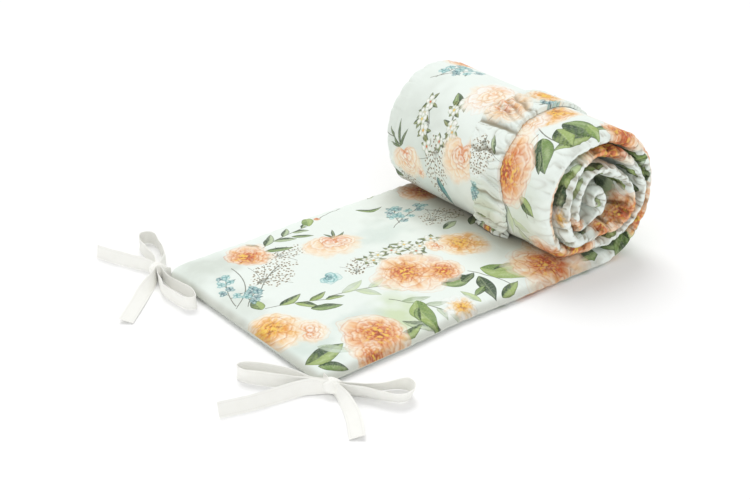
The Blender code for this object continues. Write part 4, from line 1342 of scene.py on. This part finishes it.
# its wash in shade is painted shade low on the strap, near where it reaches the flat run
BAND_PRINT = motifs("""
    wash 930 118 0 30 1.5 sage 0.45; wash 890 100 0 20 1.5 shade 0.55;
    blossom 756 140 30 42 pale 8 360 31; blossom 700 118 30 30 yellow 8 360 33;
    sprig 735 106 200 36 62; spray 846 130 0 19 1.7; leaf 838 112 160 30 0.24 sage deep;
    sprig 884 140 -14 36 61; leaf 950 116 84 18 0.34 leaf deep;
    blossom 985 112 0 12 orange 7 360 35; leaf 968 126 40 24 0.3 sage deep;
    leaf 1000 104 60 22 0.36 leaf deep; blossom 1010 124 0 10 orange 6 360 36;
    leaf 1006 132 30 18 0.36 sage deep; sprig 600 130 170 40 63;
    blossom 520 135 20 30 orange 8 360 34; leaf 475 120 20 34 0.4 leaf deep;
    leaf 640 112 20 34 0.4 fresh deep""")


def smooth_route(rows, steps):
    """Pass a Catmull-Rom curve through a table's rows."""
    rows = np.array(rows, dtype=float)
    padded = np.vstack((2.0 * rows[0] - rows[1], rows, 2.0 * rows[-1] - rows[-2]))
    route = []
    for index in range(1, len(padded) - 2):
        before, start, end, after = padded[index - 1:index + 3]
        for t in np.arange(steps) / steps:
            route.append(0.5 * (2.0 * start + (end - before) * t
                                + (2.0 * before - 5.0 * start + 4.0 * end - after) * t ** 2
                                + (3.0 * start - before - 3.0 * end + after) * t ** 3))
    route.append(rows[-1])
    return np.array(route)


def tape_rings(rows, floor, seed, steps=12, width=TAPE_WIDTH):
    """Closed rings of a tape that stands on its lower edge or leans over."""
    route = smooth_route(rows, steps)
    place, lean = route[:, :2], np.radians(route[:, 2])
    run = np.gradient(place, axis=0)
    run /= np.linalg.norm(run, axis=1, keepdims=True)
    left = np.stack((-run[:, 1], run[:, 0]), axis=-1)
    along = travelled(place)
    heights = np.linspace(0.0, 1.0, 9)
    half = TAPE_THICKNESS / 2.0
    rings = []
    for index in range(len(route)):
        c, s = math.cos(lean[index]), math.sin(lean[index])
        up, side = np.array((*left[index] * s, c)), np.array((*left[index] * c, -s))
        foot = np.array((*place[index], floor + abs(half * s)))
        cup = 0.0009 * noise(along[index] / 0.024, 0.0, seed) + 0.0004
        flutter = 0.0012 * noise(along[index] / 0.017, 0.0, seed + 3)
        points = []
        for sign in (1.0, -1.0):
            for share in (heights if sign > 0 else heights[::-1]):
                bow = cup * math.sin(math.pi * share) + flutter * share * share
                thick = half * (1.0 if 0.0 < share < 1.0 else 0.55)
                points.append(foot + up * (width * share) + side * (bow + sign * thick))
        rings.append(points)
    rings = np.array(rings)
    rings[..., 2] = np.maximum(rings[..., 2], LOWEST)
    across = np.concatenate((heights, heights[::-1])) * width - width / 2.0
    return rings, np.broadcast_arrays(along[:, None], across[None, :])


def knot_rings(place):
    """A tape wound tightly round the crossing: a squarish bead with slanting folds."""
    count, around = 30, 40
    turn = np.linspace(0.02, math.pi - 0.02, count)
    spin = np.arange(around) / around * 2.0 * math.pi
    t, s = turn[:, None], spin[None, :]
    fold = 1.0 + 0.085 * np.sin(3.0 * s + 2.6 * t) + 0.05 * np.sin(5.0 * s - 1.7 * t + 1.0)
    reach = np.sin(t) ** 0.75 * fold
    x = KNOT_HALF_LENGTH * np.cos(t) * np.ones_like(s)
    y, z = KNOT_RADIUS * reach * np.cos(s), KNOT_RADIUS * reach * np.sin(s)
    c, d = math.cos(math.radians(KNOT_YAW)), math.sin(math.radians(KNOT_YAW))
    points = np.stack((place[0] + x * c - y * d, place[1] + x * d + y * c, KNOT_HEIGHT + z), axis=-1)
    points[..., 2] = np.maximum(points[..., 2], 0.0003)
    across = (np.sin(s * 0.5) * 0.5) * TAPE_WIDTH + 0.0 * t
    return points, np.broadcast_arrays(t * 0.008 + 0.0 * s, across)


def build_tie(name, knot, corner, tapes, material):
    """Knot, two loops, two tails and the sewn end in one piece; returns its cloth's length."""
    sewn = ((*knot, 0.0), (*corner, 0.0))
    parts = [tape_rings(table(rows, TENTHS, TENTHS, DEGREES), TAPE_FLOOR + 0.0001 * index,
                        60 + 7 * index) for index, rows in enumerate(tapes.values())]
    parts += [tape_rings(sewn, TAPE_FLOOR + 0.0008, 97, 6, SEWN_WIDTH), knot_rings(knot)]
    vertices, faces, places = [], [], []
    for rings, (along, across) in parts:
        index, quads = tube(*rings.shape[:2], sum(len(block) for block in vertices))
        faces += quads + [index[0], index[-1][::-1]]
        vertices.append(rings.reshape(-1, 3))
        places.append(np.stack((along.ravel(), across.ravel(), along.ravel() * 0.0)))
    item = add_cloth(name, np.concatenate(vertices), faces, material)
    item.data.set_sharp_from_angle(angle=math.radians(60.0))
    keep_on_points(item.data, "cloth_place", "FLOAT_VECTOR", np.concatenate(places, axis=1))
    return item, sum(float(along.max()) for _, (along, _) in parts)


# ---------------------------------------------------------------- camera, light and floor
def set_camera():
    yaw, pitch = CAMERA_YAW, CAMERA_PITCH
    ahead = Vector((math.cos(pitch) * math.sin(yaw), math.cos(pitch) * math.cos(yaw), -math.sin(pitch)))
    right = Vector((math.cos(yaw), -math.sin(yaw), 0.0))
    up = right.cross(ahead)
    data = bpy.data.cameras.new("camera")
    data.lens = CAMERA_LENS
    data.sensor_width = 36.0
    item = add_item("camera", data)
    item.rotation_mode = "QUATERNION"
    item.rotation_quaternion = Matrix((right, up, -ahead)).transposed().to_quaternion()
    item.location = Vector(CAMERA_PLACE) + Vector(ROW_SHIFT)
    bpy.context.scene.camera = item


def add_sun(name, source, strength, spread):
    """A distant soft light; its source is a direction and its spread an angle in degrees."""
    data = bpy.data.lights.new(name, "SUN")
    data.energy = strength
    data.angle = math.radians(spread)
    item = add_item(name, data)
    item.location = source
    item.rotation_mode = "QUATERNION"
    item.rotation_quaternion = (-Vector(source)).to_track_quat("-Z", "Y")


def set_light():
    world = bpy.data.worlds.new("studio")
    world.use_nodes = True
    tree = world.node_tree
    shade = tree.nodes["Background"]
    shade.inputs["Color"].default_value = (1.0, 1.0, 1.0, 1.0)
    # white walls, a little less light from the ceiling
    direction = tree.nodes.new("ShaderNodeTexCoord")
    parts = tree.nodes.new("ShaderNodeSeparateXYZ")
    strength = tree.nodes.new("ShaderNodeMapRange")
    strength.interpolation_type = "SMOOTHSTEP"
    for name, value in (("From Min", 0.05), ("From Max", 0.55), ("To Min", WALL_LIGHT),
                        ("To Max", CEILING_LIGHT)):
        strength.inputs[name].default_value = value
    tree.links.new(direction.outputs["Generated"], parts.inputs["Vector"])
    tree.links.new(parts.outputs["Z"], strength.inputs["Value"])
    tree.links.new(strength.outputs["Result"], shade.inputs["Strength"])
    bpy.context.scene.world = world
    bpy.context.scene.view_settings.view_transform = "Standard"
    add_sun("key", (0.45, 0.80, 1.50), 1.20, 32.0)
    add_sun("fill", (-1.0, -1.0, 0.7), 0.62, 100.0)


def set_floor():
    mesh = bpy.data.meshes.new("floor")
    low, high = -FLOOR_REACH, FLOOR_REACH
    mesh.from_pydata([(low, low, 0.0), (high, low, 0.0), (high, high, 0.0), (low, high, 0.0)], [],
                     [(0, 1, 2, 3)])
    graph = Graph("studio_paper")
    place = graph.node("ShaderNodeTexCoord").outputs["Object"]
    tone = graph.noise(place, 3.0)
    colour = graph.mix(tone, (0.97, 0.97, 0.97, 1.0), (0.985, 0.985, 0.985, 1.0))
    mesh.materials.append(graph.finish(colour, Roughness=0.9, Specular_IOR_Level=0.2))
    item = add_item("floor", mesh)


for leftover in list(bpy.data.objects):
    bpy.data.objects.remove(leftover, do_unlink=True)
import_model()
strip_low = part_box("bumper")[0]
NEAREST_EDGE = min(row[1] for row in EDGE_INSETS)
ROW_SHIFT = np.array((strip_low.x - FREE_END_X, strip_low.y - NEAREST_EDGE, 0.0))
set_camera()
set_floor()
set_light()

cotton = print_material("printed_cotton")
tape = tape_material("ivory_tape")
strip = build_strip(cotton)
for piece in strip:
    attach(piece, "root")
    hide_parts("bumper")

band = build_band(print_material("printed_cotton_band"))
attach(band, "root")
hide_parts("gathered_band")

for tie_name, tie_knot, tie_corner, tie_tapes in (
        ("tie_front", FRONT_KNOT, FRONT_CORNER, FRONT_TAPES),
        ("tie_back", BACK_KNOT, BACK_CORNER, BACK_TAPES)):
    bow, tape_length = build_tie(f"{tie_name}_bow", tie_knot, tie_corner, tie_tapes, tape)
    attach(bow, "root")
    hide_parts(tie_name)
